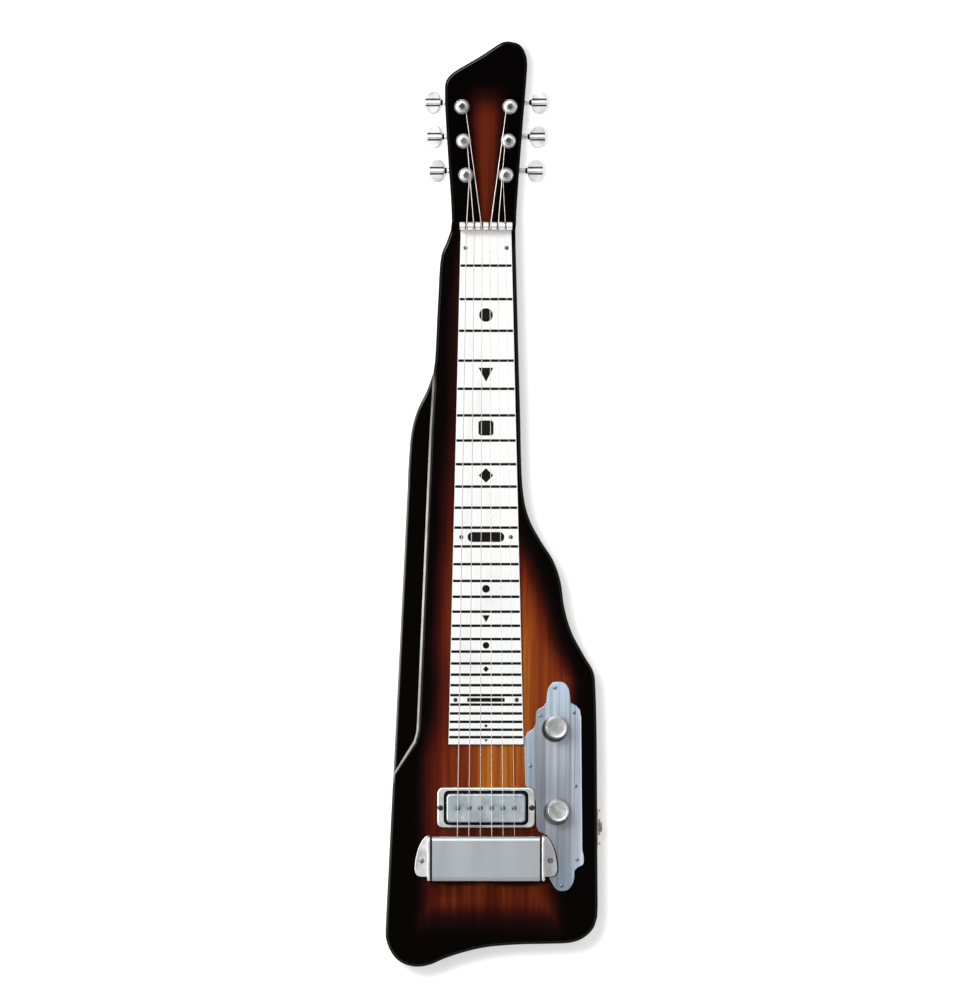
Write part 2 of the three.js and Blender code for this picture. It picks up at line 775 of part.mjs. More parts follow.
function addFretboard() {
  const top = deckZ + boardThickness;
  const seam = deckZ + backingThickness;
  const high = scaleLength - loose;
  const outline = [
    point(-boardHalfAt(boardEnd), boardEnd), point(boardHalfAt(boardEnd), boardEnd),
    point(boardHalfAt(high), high), point(-boardHalfAt(high), high),
  ];
  const figures = markerShares.map(([fret, kind, heightShare, widthShare]) => {
    const height = (fretAt(fret - 1) - fretAt(fret)) * heightShare;
    return markerOutline(kind, (fretAt(fret - 1) + fretAt(fret)) / 2, height, height * widthShare);
  });
  for (let fret = 1; fret < lastFret; fret += 1) {
    const y = fretAt(fret);
    const half = boardHalfAt(y) - lineMargin;
    figures.push([
      point(-half, y - fretLineWidth / 2), point(half, y - fretLineWidth / 2),
      point(half, y + fretLineWidth / 2), point(-half, y + fretLineWidth / 2),
    ]);
  }
  const raised = joined(figures.map((figure) => slab(figure, deckZ + backingThickness / 2, top)));
  const windows = joined(figures.map((figure) => slab(figure, deckZ, top + overrun)));
  const holes = boardScrewPlaces.map((place) => (
    cylinder(place.x, place.y, boardScrewShank + loose, deckZ - overrun, top + overrun, screwSides)));
  const face = slab(outline, seam, top).subtract(windows);
  const backing = slab(outline, deckZ, seam).add(raised);
  addPiece(guitar, 'fretboard', geometryOf(without(face, holes)), boardWhite);
  addPiece(guitar, 'fretboard_backing', geometryOf(without(backing, holes)), inlayBlack);
}

addFretboard();

// Nut, with a slot under each string that falls away towards the head
function stringFall(string) {
  const run = string.touch.distanceTo(point(string.nut.x, string.nut.y)) - leadIn;
  return (string.nut.z - string.coilZ) / run;
}

function addNut() {
  const top = deckZ + nutHeight;
  const profile = [
    point(scaleLength, deckZ), point(neckEnd, deckZ), point(neckEnd, top - 2 * nutChamfer),
    point(neckEnd - nutChamfer, top - nutChamfer / 2), point(neckEnd - 2 * nutChamfer, top),
    point(scaleLength + nutChamfer / 2, top), point(scaleLength, top - nutChamfer / 2),
  ];
  const slots = strings.map((string) => {
    const half = string.radius + loose;
    const back = nutLength + overrun;
    const floor = nutFloorZ;
    const outline = [
      point(scaleLength - overrun, floor), point(scaleLength, floor),
      point(scaleLength + back, floor - back * (stringFall(string) + fit)),
      point(scaleLength + back, top + overrun), point(scaleLength - overrun, top + overrun),
    ];
    const drift = Math.abs(string.direction.x / string.direction.y) * nutLength;
    return runAlongX(outline, string.nut.x - half - drift, string.nut.x + half + drift);
  });
  const bar = runAlongX(profile, -nutWidth / 2, nutWidth / 2);
  addPiece(guitar, 'nut', geometryOf(without(bar, slots)), chrome);
}

addNut();

// Bridge plate with its anchor wall, and the saddle
const anchorFront = -(saddleWidth + anchorThickness) / 2 - anchorThickness;
const anchorBack = anchorFront - anchorThickness;
const anchorZ = deckZ + bridgeThickness + anchorHoleRise;

function addBridge() {
  const top = deckZ + bridgeThickness;
  const base = block(-bridgeLength / 2, bridgeLength / 2, anchorBack, bridgeFront, deckZ, top);
  const wall = block(-bridgeLength / 2, bridgeLength / 2, anchorBack, anchorFront, deckZ, top + anchorRise);
  const cutters = strings.map((string) => {
    const hole = turned(
      [[0, -overrun], [anchorHole, -overrun], [anchorHole, anchorThickness + overrun],
        [0, anchorThickness + overrun]], screwSides);
    return solidOf(moved(hole.rotateX(Math.PI / 2), string.saddleX, anchorFront, anchorZ));
  });
  for (const place of bridgeScrewPlaces) {
    cutters.push(holeThrough(place, screwShank, top));
  }
  addPiece(guitar, 'bridge_plate', geometryOf(without(joined([base, wall]), cutters)), steel);

  const half = saddleWidth / 2;
  const crest = [
    point(-half, top), point(half, top), point(half, saddleTopZ - saddleStep), point(0, saddleTopZ),
    point(-saddleStep * saddleBackShare, saddleTopZ - saddleStep),
    point(-half, saddleTopZ - 2 * saddleStep),
  ];
  addPiece(guitar, 'saddle', geometryOf(runAlongX(crest, -saddleLength / 2, saddleLength / 2)), chrome);
}

addBridge();

// Strings, each with the ball that anchors it, from the bridge over the saddle and the nut to their posts
function addStrings() {
  for (const string of strings) {
    const end = string.touch.clone().addScaledVector(string.direction, -leadIn - loose);
    const places = [
      new THREE.Vector3(string.saddleX, anchorBack - ballRadius, anchorZ),
      new THREE.Vector3(string.saddleX, anchorFront, anchorZ),
      new THREE.Vector3(string.saddleX, 0, saddleTopZ + string.radius),
      string.nut,
      new THREE.Vector3(end.x, end.y, string.coilZ),
    ];
    const ball = lyingCylinder(
      anchorBack - ballRadius, anchorZ, ballRadius,
      string.saddleX - ballLength / 2, string.saddleX + ballLength / 2, screwSides);
    const tube = solidOf(sweptTube(places, string.radius, stringSides));
    addPiece(guitar, `string_${string.number}`, geometryOf(tube.add(ball)), steel);
  }
}

addStrings();

// Tuning machines
const centreDistance = wheelRadius + wormRadius;
const wormSwing = wormRadius + threadHeight + loose;
const housingSpanX = [-housingInner - housingWall, housingInner + 2 * housingWall];
const housingSpanY = [-housingInner - housingWall, centreDistance + wormSwing + housingWall];

// A box whose X places are given for the treble side, and mirrored on the bass side
function sidedBlock(side, innerX, outerX, lowY, highY, lowZ, highZ) {
  const [lowX, highX] = side > 0 ? [innerX, outerX] : [-outerX, -innerX];
  return block(lowX, highX, lowY, highY, lowZ, highZ);
}

function sidedCylinder(side, y, z, radius, innerX, outerX, sides) {
  const [lowX, highX] = side > 0 ? [innerX, outerX] : [-outerX, -innerX];
  return lyingCylinder(y, z, radius, lowX, highX, sides);
}

// The casing with its room for the wheel and the worm, drawn about the post's axis
function housingSolid(side) {
  const [backX, frontX] = housingSpanX;
  const [lowY, highY] = housingSpanY;
  const outline = roundedRectangle(
    side * (backX + frontX) / 2, (lowY + highY) / 2, frontX - backX, highY - lowY, housingCorner, 1);
  const shellZ = headBackZ - housingDepth;
  const shell = roundedSlab(outline, shellZ, headBackZ, {}, { radius: housingCorner / 2 });
  const floorZ = shellZ + housingWall;
  const wheelRoom = cylinder(0, 0, housingInner, floorZ, headBackZ + overrun, roomSides);
  const wormRoom = sidedBlock(
    side, backX + housingWall, frontX - housingWall, wheelRadius - toothDepth, highY - housingWall,
    floorZ, headBackZ + overrun);
  const collar = sidedCylinder(
    side, centreDistance, shaftZ, collarRadius, frontX - housingWall, frontX + collarLength, roomSides);
  const bore = sidedCylinder(
    side, centreDistance, shaftZ, (shaftRadius + running) / Math.cos(Math.PI / screwSides),
    frontX - 2 * housingWall, frontX + collarLength + overrun, screwSides);
  const tab = sidedBlock(
    side, -tunerScrewX - screwHead, -housingInner, -screwHead, screwHead,
    headBackZ - housingWall, headBackZ);
  const tabHole = cylinder(
    -side * tunerScrewX, 0, boardScrewShank + loose,
    headBackZ - housingWall - overrun, headBackZ + overrun, screwSides);
  return without(joined([shell, collar, tab]), [wheelRoom, wormRoom, bore, tabHole]);
}

function postSolid(string) {
  const footZ = headBackZ - housingDepth + housingWall + loose;
  const gearLow = shaftZ - wheelThickness / 2;
  const gearHigh = shaftZ + wheelThickness / 2;
  const coilLow = bushingTopZ + loose / 2;
  const waistTop = postTopZ - postCap;
  const root = wheelRadius - toothDepth / 2;
  const profile = [
    [0, footZ], [root, footZ], [root, gearHigh], [postRadius, gearHigh], [postRadius, coilLow],
    [postWaist, coilLow + loose], [postWaist, waistTop], [postRadius, waistTop + loose],
    [postRadius, postTopZ], [0, postTopZ],
  ];
  const teeth = [];
  for (let tooth = 0; tooth < toothCount; tooth += 1) {
    for (const [half, radius] of [[0, wheelRadius - toothDepth], [1, wheelRadius + toothDepth / 2]]) {
      const angle = ((tooth + half / 2) / toothCount) * 2 * Math.PI - Math.PI / 2;
      teeth.push(point(radius * Math.cos(angle), radius * Math.sin(angle)));
    }
  }
  const wheel = slab(teeth, gearLow, gearHigh);
  const { angle, z } = coilEnd(string);
  const hole = turned(
    [[0, 0], [crossHoleRadius, 0], [crossHoleRadius, 2 * postRadius], [0, 2 * postRadius]], screwSides);
  hole.rotateY(Math.PI / 2).rotateZ(angle).translate(0, 0, z);
  return joined([solidOf(turned(profile, plainSides)), wheel]).subtract(solidOf(hole));
}

// Half of the thumb button's outline: shares of its length along the shaft, and of half its width
const paddleShares = [[0, 0.26], [0.12, 0.7], [0.36, 1], [0.64, 1], [0.88, 0.7], [1, 0.26]];

// The worm, a round bar whose centre winds about the shaft's axis, with the thumb button on its end:
// an oval plate with a rib along the shaft
function buttonSolid(side) {
  const lead = 2 * Math.PI * wheelRadius / toothCount;
  const wormHalf = lead * wormTurns / 2;
  const steps = wormTurns * wormSteps;
  const levels = [];
  for (let step = 0; step <= steps; step += 1) {
    const angle = step / wormSteps * 2 * Math.PI - Math.PI / 2;
    const throwX = threadHeight / 2 * Math.cos(angle);
    const throwY = threadHeight / 2 * Math.sin(angle);
    levels.push({
      outline: circle(throwX, throwY, wormRadius, screwSides),
      z: (step / steps * 2 - 1) * wormHalf,
    });
  }
  const ribEnd = shaftReach + buttonLength - ribMargin;
  for (const [radius, z] of [
    [shaftRadius, wormHalf + loose], [shaftRadius, shaftReach], [ribRadius, shaftReach + ribMargin],
    [ribRadius, ribEnd],
  ]) {
    levels.push({ outline: circle(0, 0, radius, screwSides), z });
  }
  const spindle = solidOf(stacked(levels));
  const edge = paddleShares.map(([alongShare, acrossShare]) => (
    point(shaftReach + alongShare * buttonLength, acrossShare * buttonWidth / 2)));
  const outline = [...edge.map((place) => point(place.x, -place.y)), ...edge.reverse()];
  const edges = { radius: buttonRound };
  const paddle = roundedSlab(outline, -buttonThickness / 2, buttonThickness / 2, edges, edges);
  const shaftGeometry = geometryOf(spindle).rotateY(Math.PI / 2);
  const whole = geometryOf(solidOf(shaftGeometry).add(paddle));
  const turnedOut = side > 0 ? whole.rotateX(Math.PI) : whole.rotateZ(Math.PI);
  return turnedOut.translate(0, centreDistance, shaftZ);
}

// The turns of string on a post, from the straight string up to the hole in the post
function coilEnd(string) {
  const start = Math.atan2(string.touch.y - string.post.y, string.touch.x - string.post.x);
  const angle = start - string.side * coilTurns * 2 * Math.PI;
  return { start, angle, z: string.coilZ + coilTurns * string.pitch };
}

function coilPlaces(string) {
  const { start, angle, z } = coilEnd(string);
  const centre = string.post;
  const places = [];
  const lead = string.touch.clone().addScaledVector(string.direction, -leadIn).sub(centre);
  places.push(new THREE.Vector3(lead.x, lead.y, string.coilZ));
  const steps = Math.round(coilTurns * coilSteps);
  for (let step = 0; step <= steps; step += 1) {
    const share = step / steps;
    const here = start + (angle - start) * share;
    places.push(new THREE.Vector3(
      string.coilRadius * Math.cos(here), string.coilRadius * Math.sin(here),
      string.coilZ + (z - string.coilZ) * share));
  }
  return places;
}

// The least distance between turns of one winding, measured on its own points
function leastCoilGap(places, diameter) {
  let least = Infinity;
  places.forEach((place, index) => {
    for (let other = index + coilSteps / 2; other < places.length; other += 1) {
      least = Math.min(least, place.distanceTo(places[other]) - diameter);
    }
  });
  return least;
}

function bushingSolid() {
  const bore = (postRadius + running) / Math.cos(Math.PI / plainSides);
  const top = headFaceZ + washerHeight;
  const washer = cylinder(0, 0, washerRadius, headFaceZ, top, plainSides);
  const hex = cylinder(0, 0, bushingHexRadius, top, bushingTopZ, hexSides);
  const tube = cylinder(0, 0, bushingRadius, headBackZ - housingWall, top, plainSides);
  const hole = cylinder(0, 0, bore, headBackZ - housingWall - overrun, bushingTopZ + overrun, plainSides);
  return joined([washer, hex, tube]).subtract(hole);
}

function addTuners() {
  for (const string of strings) {
    const machine = new THREE.Group();
    machine.position.set(string.post.x, string.post.y, 0);
    guitar.add(machine);
    const coil = coilPlaces(string);
    console.log(`winding ${string.number} least gap`, leastCoilGap(coil, 2 * string.radius).toFixed(2));
    const casing = housingSolid(string.side).add(bushingSolid());
    addPiece(machine, `tuner_housing_${string.number}`, geometryOf(casing), chrome);
    addPiece(machine, `tuner_post_${string.number}`, geometryOf(postSolid(string)), chrome);
    const winding = sweptTube(coil, string.radius, stringSides);
    addPiece(machine, `string_winding_${string.number}`, winding, steel);
    addPiece(machine, `tuner_button_${string.number}`, buttonSolid(string.side), chrome);
  }
}

addTuners();

// Pickup: ring, cover with its flange, base, bobbin, coil, magnet, pole screws with their keeper, and pad
const coverTopZ = deckZ + coverRise;
const flangeTopZ = deckZ - flangeDrop + flangeThickness;
const bobbinTopZ = coverTopZ - coverWall - loose;
const bobbinLowZ = bobbinTopZ - bobbinHeight;
const coverLowZ = bobbinLowZ - keeperHeight - 2 * fit;
const baseLowZ = coverLowZ - baseThickness;

function addPickup() {
  const ringTop = deckZ + ringHeight;
  const ringOuter = roundedRectangle(0, pickupY, ringLength, ringWidth, ringCorner);
  const ringWindow = roundedRectangle(0, pickupY, windowLength, windowWidth, windowCorner);
  const ringHoles = ringScrewPlaces.map((place) => holeThrough(place, bigShank, ringTop));
  const ring = roundedSlab(ringOuter, deckZ, ringTop, { radius: coverRound }, {});
  const window = slab(ringWindow, deckZ - overrun, ringTop + overrun);
  addPiece(guitar, 'pickup_ring', geometryOf(without(ring, [window, ...ringHoles])), chrome);
  ringScrewPlaces.forEach((place, index) => {
    const screw = screwAt(place.x, place.y, ringTop, coverScrew);
    addPiece(guitar, `ring_screw_${index + 1}`, geometryOf(screw), steel);
  });

  const outer = roundedRectangle(0, pickupY, coverLength, coverWidth, coverCorner);
  const inner = inset(outer, coverWall);
  const flange = slab(
    roundedRectangle(
      0, pickupY, coverLength + 2 * flangeLip, coverWidth + 2 * flangeLipWidth, coverCorner),
    flangeTopZ - flangeThickness, flangeTopZ);
  const shell = roundedSlab(outer, coverLowZ, coverTopZ, { radius: coverRound }, {});
  const hollow = slab(inner, coverLowZ - overrun, coverTopZ - coverWall);
  const poles = strings.map((string) => string.saddleX + (string.nut.x - string.saddleX) * pickupShare);
  const poleHoles = poles.map((x) => cylinder(
    x, pickupY, poleHeadRadius + loose, coverTopZ - coverWall - overrun, coverTopZ + overrun, screwSides));
  addPiece(guitar, 'pickup_cover', geometryOf(without(shell.add(flange), [hollow, ...poleHoles])), chrome);

  const base = slab(outer, baseLowZ, coverLowZ);
  const shankHoles = (low, high) => poles.map((x) => (
    cylinder(x, pickupY, poleShankRadius + fit, low, high, screwSides)));
  addPiece(guitar, 'pickup_base', geometryOf(without(base, shankHoles(baseLowZ - overrun, deckZ))), brass);

  const bobbinOutline = roundedRectangle(0, pickupY, bobbinLength, bobbinWidth, coverCorner - coverWall);
  const coreOutline = roundedRectangle(
    0, pickupY, bobbinLength - bobbinWidth / 2, coreWidth, coreWidth / 2 - fit);
  const bobbin = joined([
    slab(bobbinOutline, bobbinLowZ, bobbinLowZ + bobbinFlange),
    slab(bobbinOutline, bobbinTopZ - bobbinFlange, bobbinTopZ),
    slab(coreOutline, bobbinLowZ, bobbinTopZ),
  ]);
  const bobbinHoles = shankHoles(bobbinLowZ - overrun, bobbinTopZ + overrun);
  addPiece(guitar, 'pickup_bobbin', geometryOf(without(bobbin, bobbinHoles)), darkPlastic);

  const coilOutline = roundedRectangle(
    0, pickupY, bobbinLength - 2 * bobbinFlange, bobbinWidth - 2 * bobbinFlange, coverCorner - coverWall);
  const coil = slab(coilOutline, bobbinLowZ + bobbinFlange + fit, bobbinTopZ - bobbinFlange - fit)
    .subtract(slab(inset(coreOutline, -fit), bobbinLowZ, bobbinTopZ));
  addPiece(guitar, 'pickup_coil', geometryOf(coil), copper);

  const keeperTop = bobbinLowZ - fit;
  const magnet = block(
    -bobbinLength / 2 + coreWidth, bobbinLength / 2 - coreWidth,
    pickupY + keeperWidth / 2 + fit, pickupY + keeperWidth / 2 + fit + magnetWidth, coverLowZ, keeperTop);
  addPiece(guitar, 'pickup_magnet', geometryOf(magnet), magnetGrey);

  // The pole screws thread through one steel keeper bar, which joins them
  const seatZ = bobbinTopZ + fit;
  const poleProfile = [
    [0, baseLowZ - overrun], [poleShankRadius, baseLowZ - overrun], [poleShankRadius, seatZ],
    [poleHeadRadius, seatZ], [poleHeadRadius, coverTopZ + poleHeadHeight], [0, coverTopZ + poleHeadHeight],
  ];
  const keeper = block(
    poles[stringCount - 1] - keeperWidth, poles[0] + keeperWidth,
    pickupY - keeperWidth / 2, pickupY + keeperWidth / 2, coverLowZ + fit, keeperTop);
  const poleScrews = poles.map((x) => solidOf(moved(turned(poleProfile, screwSides), x, pickupY, 0)));
  addPiece(guitar, 'pole_screws', geometryOf(joined([keeper, ...poleScrews])), steel);

  const padOutline = inset(outer, coverWall + coverRound);
  const pad = slab(padOutline, deckZ - pocketDepth, baseLowZ);
  const padHoles = poles.map((x) => cylinder(
    x, pickupY, poleShankRadius + loose, baseLowZ - 2 * overrun, baseLowZ + overrun, screwSides));
  addPiece(guitar, 'pickup_pad', geometryOf(without(pad, padHoles)), foam);
}

addPickup();

// Outline of the hand rest's ear on one side: a rounded lobe that runs from its front to its back
const earShares = [
  [0, 1], [0.3, 0.93], [0.62, 0.76], [0.86, 0.52], [0.98, 0.27], [0.97, 0.13], [0.8, 0.03], [0.5, 0],
  [0, 0],
];

function earOutline(side, margin) {
  const rootX = restWidth / 2 - cheekWall;
  const length = restFront + earBack;
  const tip = earShares.map(([outShare, alongShare]) => point(
    side * (restWidth / 2 + outShare * earReach), alongShare * length - earBack));
  const lobe = smooth(tip, 2);
  const outline = [point(side * rootX, restFront), ...lobe, point(side * rootX, -earBack)];
  const wound = side > 0 ? outline.reverse() : outline;
  return margin > 0 ? inset(wound, -margin) : wound;
}

// Hand rest: a folded cover over the bridge, open towards the pickup, with an ear at each end
function addHandRest() {
  const top = deckZ + restHeight;
  const earTop = deckZ + earThickness;
  const backCorner = { y: restRound - restBack, start: Math.PI };
  const frontCorner = { y: restFront - restRound, start: Math.PI / 2 };
  const arc = ({ y, start }, radius) => {
    const places = [];
    for (let step = 0; step <= restSteps; step += 1) {
      const angle = start - step / restSteps * Math.PI / 2;
      places.push(point(y + radius * Math.cos(angle), top - restRound + radius * Math.sin(angle)));
    }
    return places;
  };
  const skin = [
    point(-restBack, deckZ + loose), ...arc(backCorner, restRound), ...arc(frontCorner, restRound),
    point(restFront, top - restLip), point(restFront - restWall, top - restLip),
    ...arc(frontCorner, restRound - restWall).reverse(), ...arc(backCorner, restRound - restWall).reverse(),
    point(-restBack + restWall, deckZ + loose),
  ];
  const cover = runAlongX(skin.reverse(), -restWidth / 2 + fit, restWidth / 2 - fit);
  const cheekProfile = [
    point(-restBack, deckZ), ...arc(backCorner, restRound), ...arc(frontCorner, restRound),
    point(restFront, deckZ),
  ].reverse();
  const parts = [cover];
  const holes = [];
  for (const side of [-1, 1]) {
    const outerX = side * restWidth / 2;
    const innerX = side * (restWidth / 2 - restWall);
    parts.push(runAlongX(cheekProfile, Math.min(outerX, innerX), Math.max(outerX, innerX)));
    parts.push(slab(earOutline(side, 0), deckZ, earTop));
  }
  for (const place of earScrewPlaces) {
    holes.push(holeThrough(place, bigShank, earTop));
  }
  addPiece(guitar, 'hand_rest', geometryOf(without(joined(parts), holes)), chrome);
  earScrewPlaces.forEach((place, index) => {
    const screw = screwAt(place.x, place.y, earTop, coverScrew);
    addPiece(guitar, `rest_screw_${index + 1}`, geometryOf(screw), steel);
  });
}

addHandRest();

// Control plate, its outline in shares of its width and length from its lower left corner
const plateTongueShares = [
  [0.775, 0.9], [0.767, 0.935], [0.74, 0.97], [0.673, 0.994], [0.573, 1.0], [0.473, 0.994], [0.406, 0.97],
  [0.379, 0.935], [0.37, 0.9],
];
const plateLeftShares = [
  [0.37, 0.9], [0.32, 0.883], [0.215, 0.863], [0.19, 0.835], [0.19, 0.805], [0.152, 0.778],
  [0.05, 0.756], [0, 0.73],
];
const plateInnerShares = [
  [0, 0.73], [0.015, 0.506], [0.19, 0.43], [0.2, 0.31], [0.235, 0.286], [0.385, 0.266], [0.42, 0.06],
];
const plateLobeShares = [
  [0.42, 0.06], [0.47, 0.035], [0.54, 0.008], [0.63, 0], [0.74, 0.008], [0.81, 0.035], [0.84, 0.067],
  [0.846, 0.097], [0.91, 0.115], [0.985, 0.127], [1, 0.158], [0.975, 0.2],
];
const plateRightShares = [[0.975, 0.2], [0.955, 0.83], [0.935, 0.865], [0.875, 0.885], [0.775, 0.9]];

function addControls() {
  const lower = smooth(plateLobeShares.map(onPlate));
  const right = plateRightShares.map(onPlate);
  const tongue = plateTongueShares.map(onPlate);
  const left = smooth(plateLeftShares.map(onPlate));
  const inner = plateInnerShares.map(onPlate);
  const outline = [
    ...lower, ...right.slice(1), ...tongue.slice(1), ...left.slice(1), ...inner.slice(1, -1),
  ];
  const ringRoom = roundedRectangle(0, pickupY, ringLength + 2 * loose, ringWidth + 2 * loose, ringCorner);
  const cutters = [
    slab(ringRoom, deckZ - overrun, plateTopZ + overrun),
    slab(earOutline(1, 2 * loose), deckZ - overrun, plateTopZ + overrun),
  ];
  for (const place of potPlaces) {
    cutters.push(cylinder(
      place.x, place.y, bushRadius + loose, deckZ - overrun, plateTopZ + overrun, plainSides));
  }
  for (const place of plateScrewPlaces) {
    cutters.push(holeThrough(place, screwShank, plateTopZ));
  }
  const plate = slab(outline, deckZ, plateTopZ);
  addPiece(guitar, 'control_plate', geometryOf(without(plate, cutters)), brushed);

  const names = ['volume', 'tone'];
  potPlaces.forEach((place, index) => {
    const control = new THREE.Group();
    control.position.set(place.x, place.y, 0);
    guitar.add(control);
    addControl(control, names[index]);
  });
}

function addControl(parent, name) {
  const low = deckZ - potHeight;
  const bore = (spindleRadius + running) / Math.cos(Math.PI / plainSides);
  const bushTop = plateTopZ + bushRise;
  const knobLow = plateTopZ + knobLift;
  const knobHigh = knobLow + knobHeight;
  const socketTop = knobHigh - knobTop;
  const socket = (spindleRadius + fit) / Math.cos(Math.PI / plainSides);
  addPiece(parent, `${name}_pot`, turned([
    [0, low], [potRadius, low], [potRadius, deckZ], [bushRadius, deckZ], [bushRadius, bushTop],
    [bore, bushTop], [bore, low + potFloor], [0, low + potFloor],
  ], plainSides), steel);
  addPiece(parent, `${name}_shaft`, turned([
    [0, low + potFloor + fit], [spindleRadius, low + potFloor + fit], [spindleRadius, socketTop - fit],
    [0, socketTop - fit],
  ], plainSides), brass);
  addPiece(parent, `${name}_knob`, turned([
    [0, socketTop], [socket, socketTop], [socket, knobLow + knobRecessHeight],
    [knobRecessRadius, knobLow + knobRecessHeight], [knobRecessRadius, knobLow], [knobRadius, knobLow],
    [knobRadius, knobHigh - knobChamfer], [knobRadius - knobChamfer, knobHigh], [0, knobHigh],
  ], fineSides), chrome);
}

addControls();

// Output jack through its plate on the treble side
function addJack() {
  const faceX = jackSeatX + jackPlateThickness;
  const plateOutline = roundedRectangle(0, 0, jackPlateLength, jackPlateWidth, jackPlateCorner);
  const holes = jackScrewYs.map((y) => (
    cylinder(y - jackY, 0, screwShank + loose, -overrun, jackPlateThickness + overrun, screwSides)));
  holes.push(cylinder(0, 0, jackBushRadius + loose, -overrun, jackPlateThickness + overrun, plainSides));
  const plate = without(slab(plateOutline, 0, jackPlateThickness), holes);
  addPiece(guitar, 'jack_plate', geometryOf(lying(plate, jackY, jackHeight, jackSeatX)), chrome);

  const rise = jackPlateThickness + jackBushRise;
  const jack = solidOf(turned([
    [0, -jackCanLength], [jackCanRadius, -jackCanLength], [jackCanRadius, 0], [jackBushRadius, 0],
    [jackBushRadius, rise], [jackBoreRadius, rise], [jackBoreRadius, jackWall - jackCanLength],
    [0, jackWall - jackCanLength],
  ], plainSides));
  addPiece(guitar, 'output_jack', geometryOf(lying(jack, jackY, jackHeight, jackSeatX)), steel);

  const nutHole = cylinder(0, 0, jackBushRadius + fit, -overrun, panelNutHeight + overrun, plainSides);
  const nut = cylinder(0, 0, panelNutRadius, 0, panelNutHeight, hexSides).subtract(nutHole);
  addPiece(guitar, 'jack_nut', geometryOf(lying(nut, jackY, jackHeight, faceX)), chrome);
}

addJack();

// Wires inside, soldered together at the volume control, with the tone capacitor at the tone control
function addWiring() {
  const [volume, tone] = potPlaces;
  const potBack = deckZ - potHeight - loose;
  const low = cavityFloor + wireRadius + loose;
  const channelZ = deckZ - pocketDepth + wireHoleRadius + overrun;
  const away = cavityX - potRadius - wireRadius;
  const place = (x, y, z) => new THREE.Vector3(x, y, z);
  const solder = [place(volume.x, volume.y, potBack - wireBend), place(volume.x, volume.y, potBack)];
  const pickupLead = [
    place(coverLength / 2 + overrun, pickupY, channelZ), place(away, pickupY, channelZ),
    place(away, pickupY + wireBend, low + wireBend), place(away, volume.y - wireBend, low + wireBend),
    ...solder,
  ];
  const toneLead = [
    place(tone.x, tone.y, potBack), place(tone.x, tone.y, potBack - wireBend),
    place(tone.x, tone.y + wireBend, low + wireBend), place(volume.x, volume.y - wireBend, low + wireBend),
    ...solder,
  ];
  const jackBackX = jackSeatX - jackCanLength - wireRadius;
  const jackLead = [
    place(jackBackX, jackY, jackHeight), place(jackBackX - wireBend, jackY, low + wireBend / 2),
    place(jackBackX - wireBend, tone.y, low + wireBend / 2),
    place(volume.x + wireBend, volume.y - wireBend, low + wireBend / 2), ...solder,
  ];
  const wires = [pickupLead, toneLead, jackLead].map((places) => (
    solidOf(sweptTube(places, wireRadius, wireSides))));
  const capacitor = block(
    tone.x - capacitorWidth / 2, tone.x + capacitorWidth / 2,
    tone.y - capacitorLength / 2, tone.y + capacitorLength / 2,
    potBack - capacitorHeight, potBack - loose);
  addPiece(guitar, 'wiring_harness', geometryOf(joined([...wires, capacitor])), wireRed);
}

addWiring();

export default guitar;
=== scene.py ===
from math import asin, atan2, copysign, cos, dist, pi, radians, sin, sqrt
from types import SimpleNamespace

import bmesh
import bpy
from mathutils import Matrix, Vector


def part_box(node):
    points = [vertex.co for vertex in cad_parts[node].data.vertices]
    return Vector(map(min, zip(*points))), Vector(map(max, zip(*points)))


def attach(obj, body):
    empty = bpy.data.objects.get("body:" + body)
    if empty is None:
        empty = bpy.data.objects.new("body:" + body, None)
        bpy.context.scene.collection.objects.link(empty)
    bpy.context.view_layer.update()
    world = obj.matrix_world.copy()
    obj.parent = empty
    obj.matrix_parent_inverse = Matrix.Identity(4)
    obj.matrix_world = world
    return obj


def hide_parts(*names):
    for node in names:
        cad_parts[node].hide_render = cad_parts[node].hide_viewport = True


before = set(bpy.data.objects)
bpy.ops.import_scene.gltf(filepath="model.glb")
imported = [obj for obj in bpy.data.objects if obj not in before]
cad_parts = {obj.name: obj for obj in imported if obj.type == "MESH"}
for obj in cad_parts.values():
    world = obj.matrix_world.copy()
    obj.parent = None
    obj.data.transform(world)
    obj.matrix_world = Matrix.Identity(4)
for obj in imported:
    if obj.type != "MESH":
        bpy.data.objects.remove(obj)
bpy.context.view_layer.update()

# Sizes are in millimetres until a mesh is made
MM = 0.001
SCALE_LENGTH = 571.5
DECK = 44.0
LEDGE = 32.0
HEAD_FACE = 36.0
HEAD_BACK = 21.0
NECK_END = 578.5
TREBLE_REACH = 101.1
BASS_REACH = 90.9
TAIL_LENGTH = 94.3
HEAD_LENGTH = 164.1
HEAD_WIDTH = 74.6
HEAD_OVERLAP = 20.0
EDGE_ROUND = 2.5
LEDGE_LIP_SHARE = 1.7
LEDGE_OVERLAP = 9.0
BOARD_TOP = 47.0
BOARD_NUT_HALF = 22.8
BOARD_END_HALF = 33.9
LAST_FRET = 29
SADDLE_TOP = 58.0
NUT_FLOOR = 56.6
PLATE_TOP = 45.6
PLATE_LEFT, PLATE_BOTTOM = 34.8, -25.7
PLATE_WIDTH, PLATE_LENGTH = 53.6, 189.2
KNOB_SHARES = {"volume": (0.54, 0.782), "tone": (0.567, 0.384)}
CURVE_STEPS = 8

ALONG_X = Matrix.Rotation(pi / 2, 4, "Y")
UPSIDE_DOWN = Matrix.Rotation(pi, 4, "X")
ON_EDGE = Matrix(((0, 0, 1, 0), (1, 0, 0, 0), (0, 1, 0, 0), (0, 0, 0, 1)))


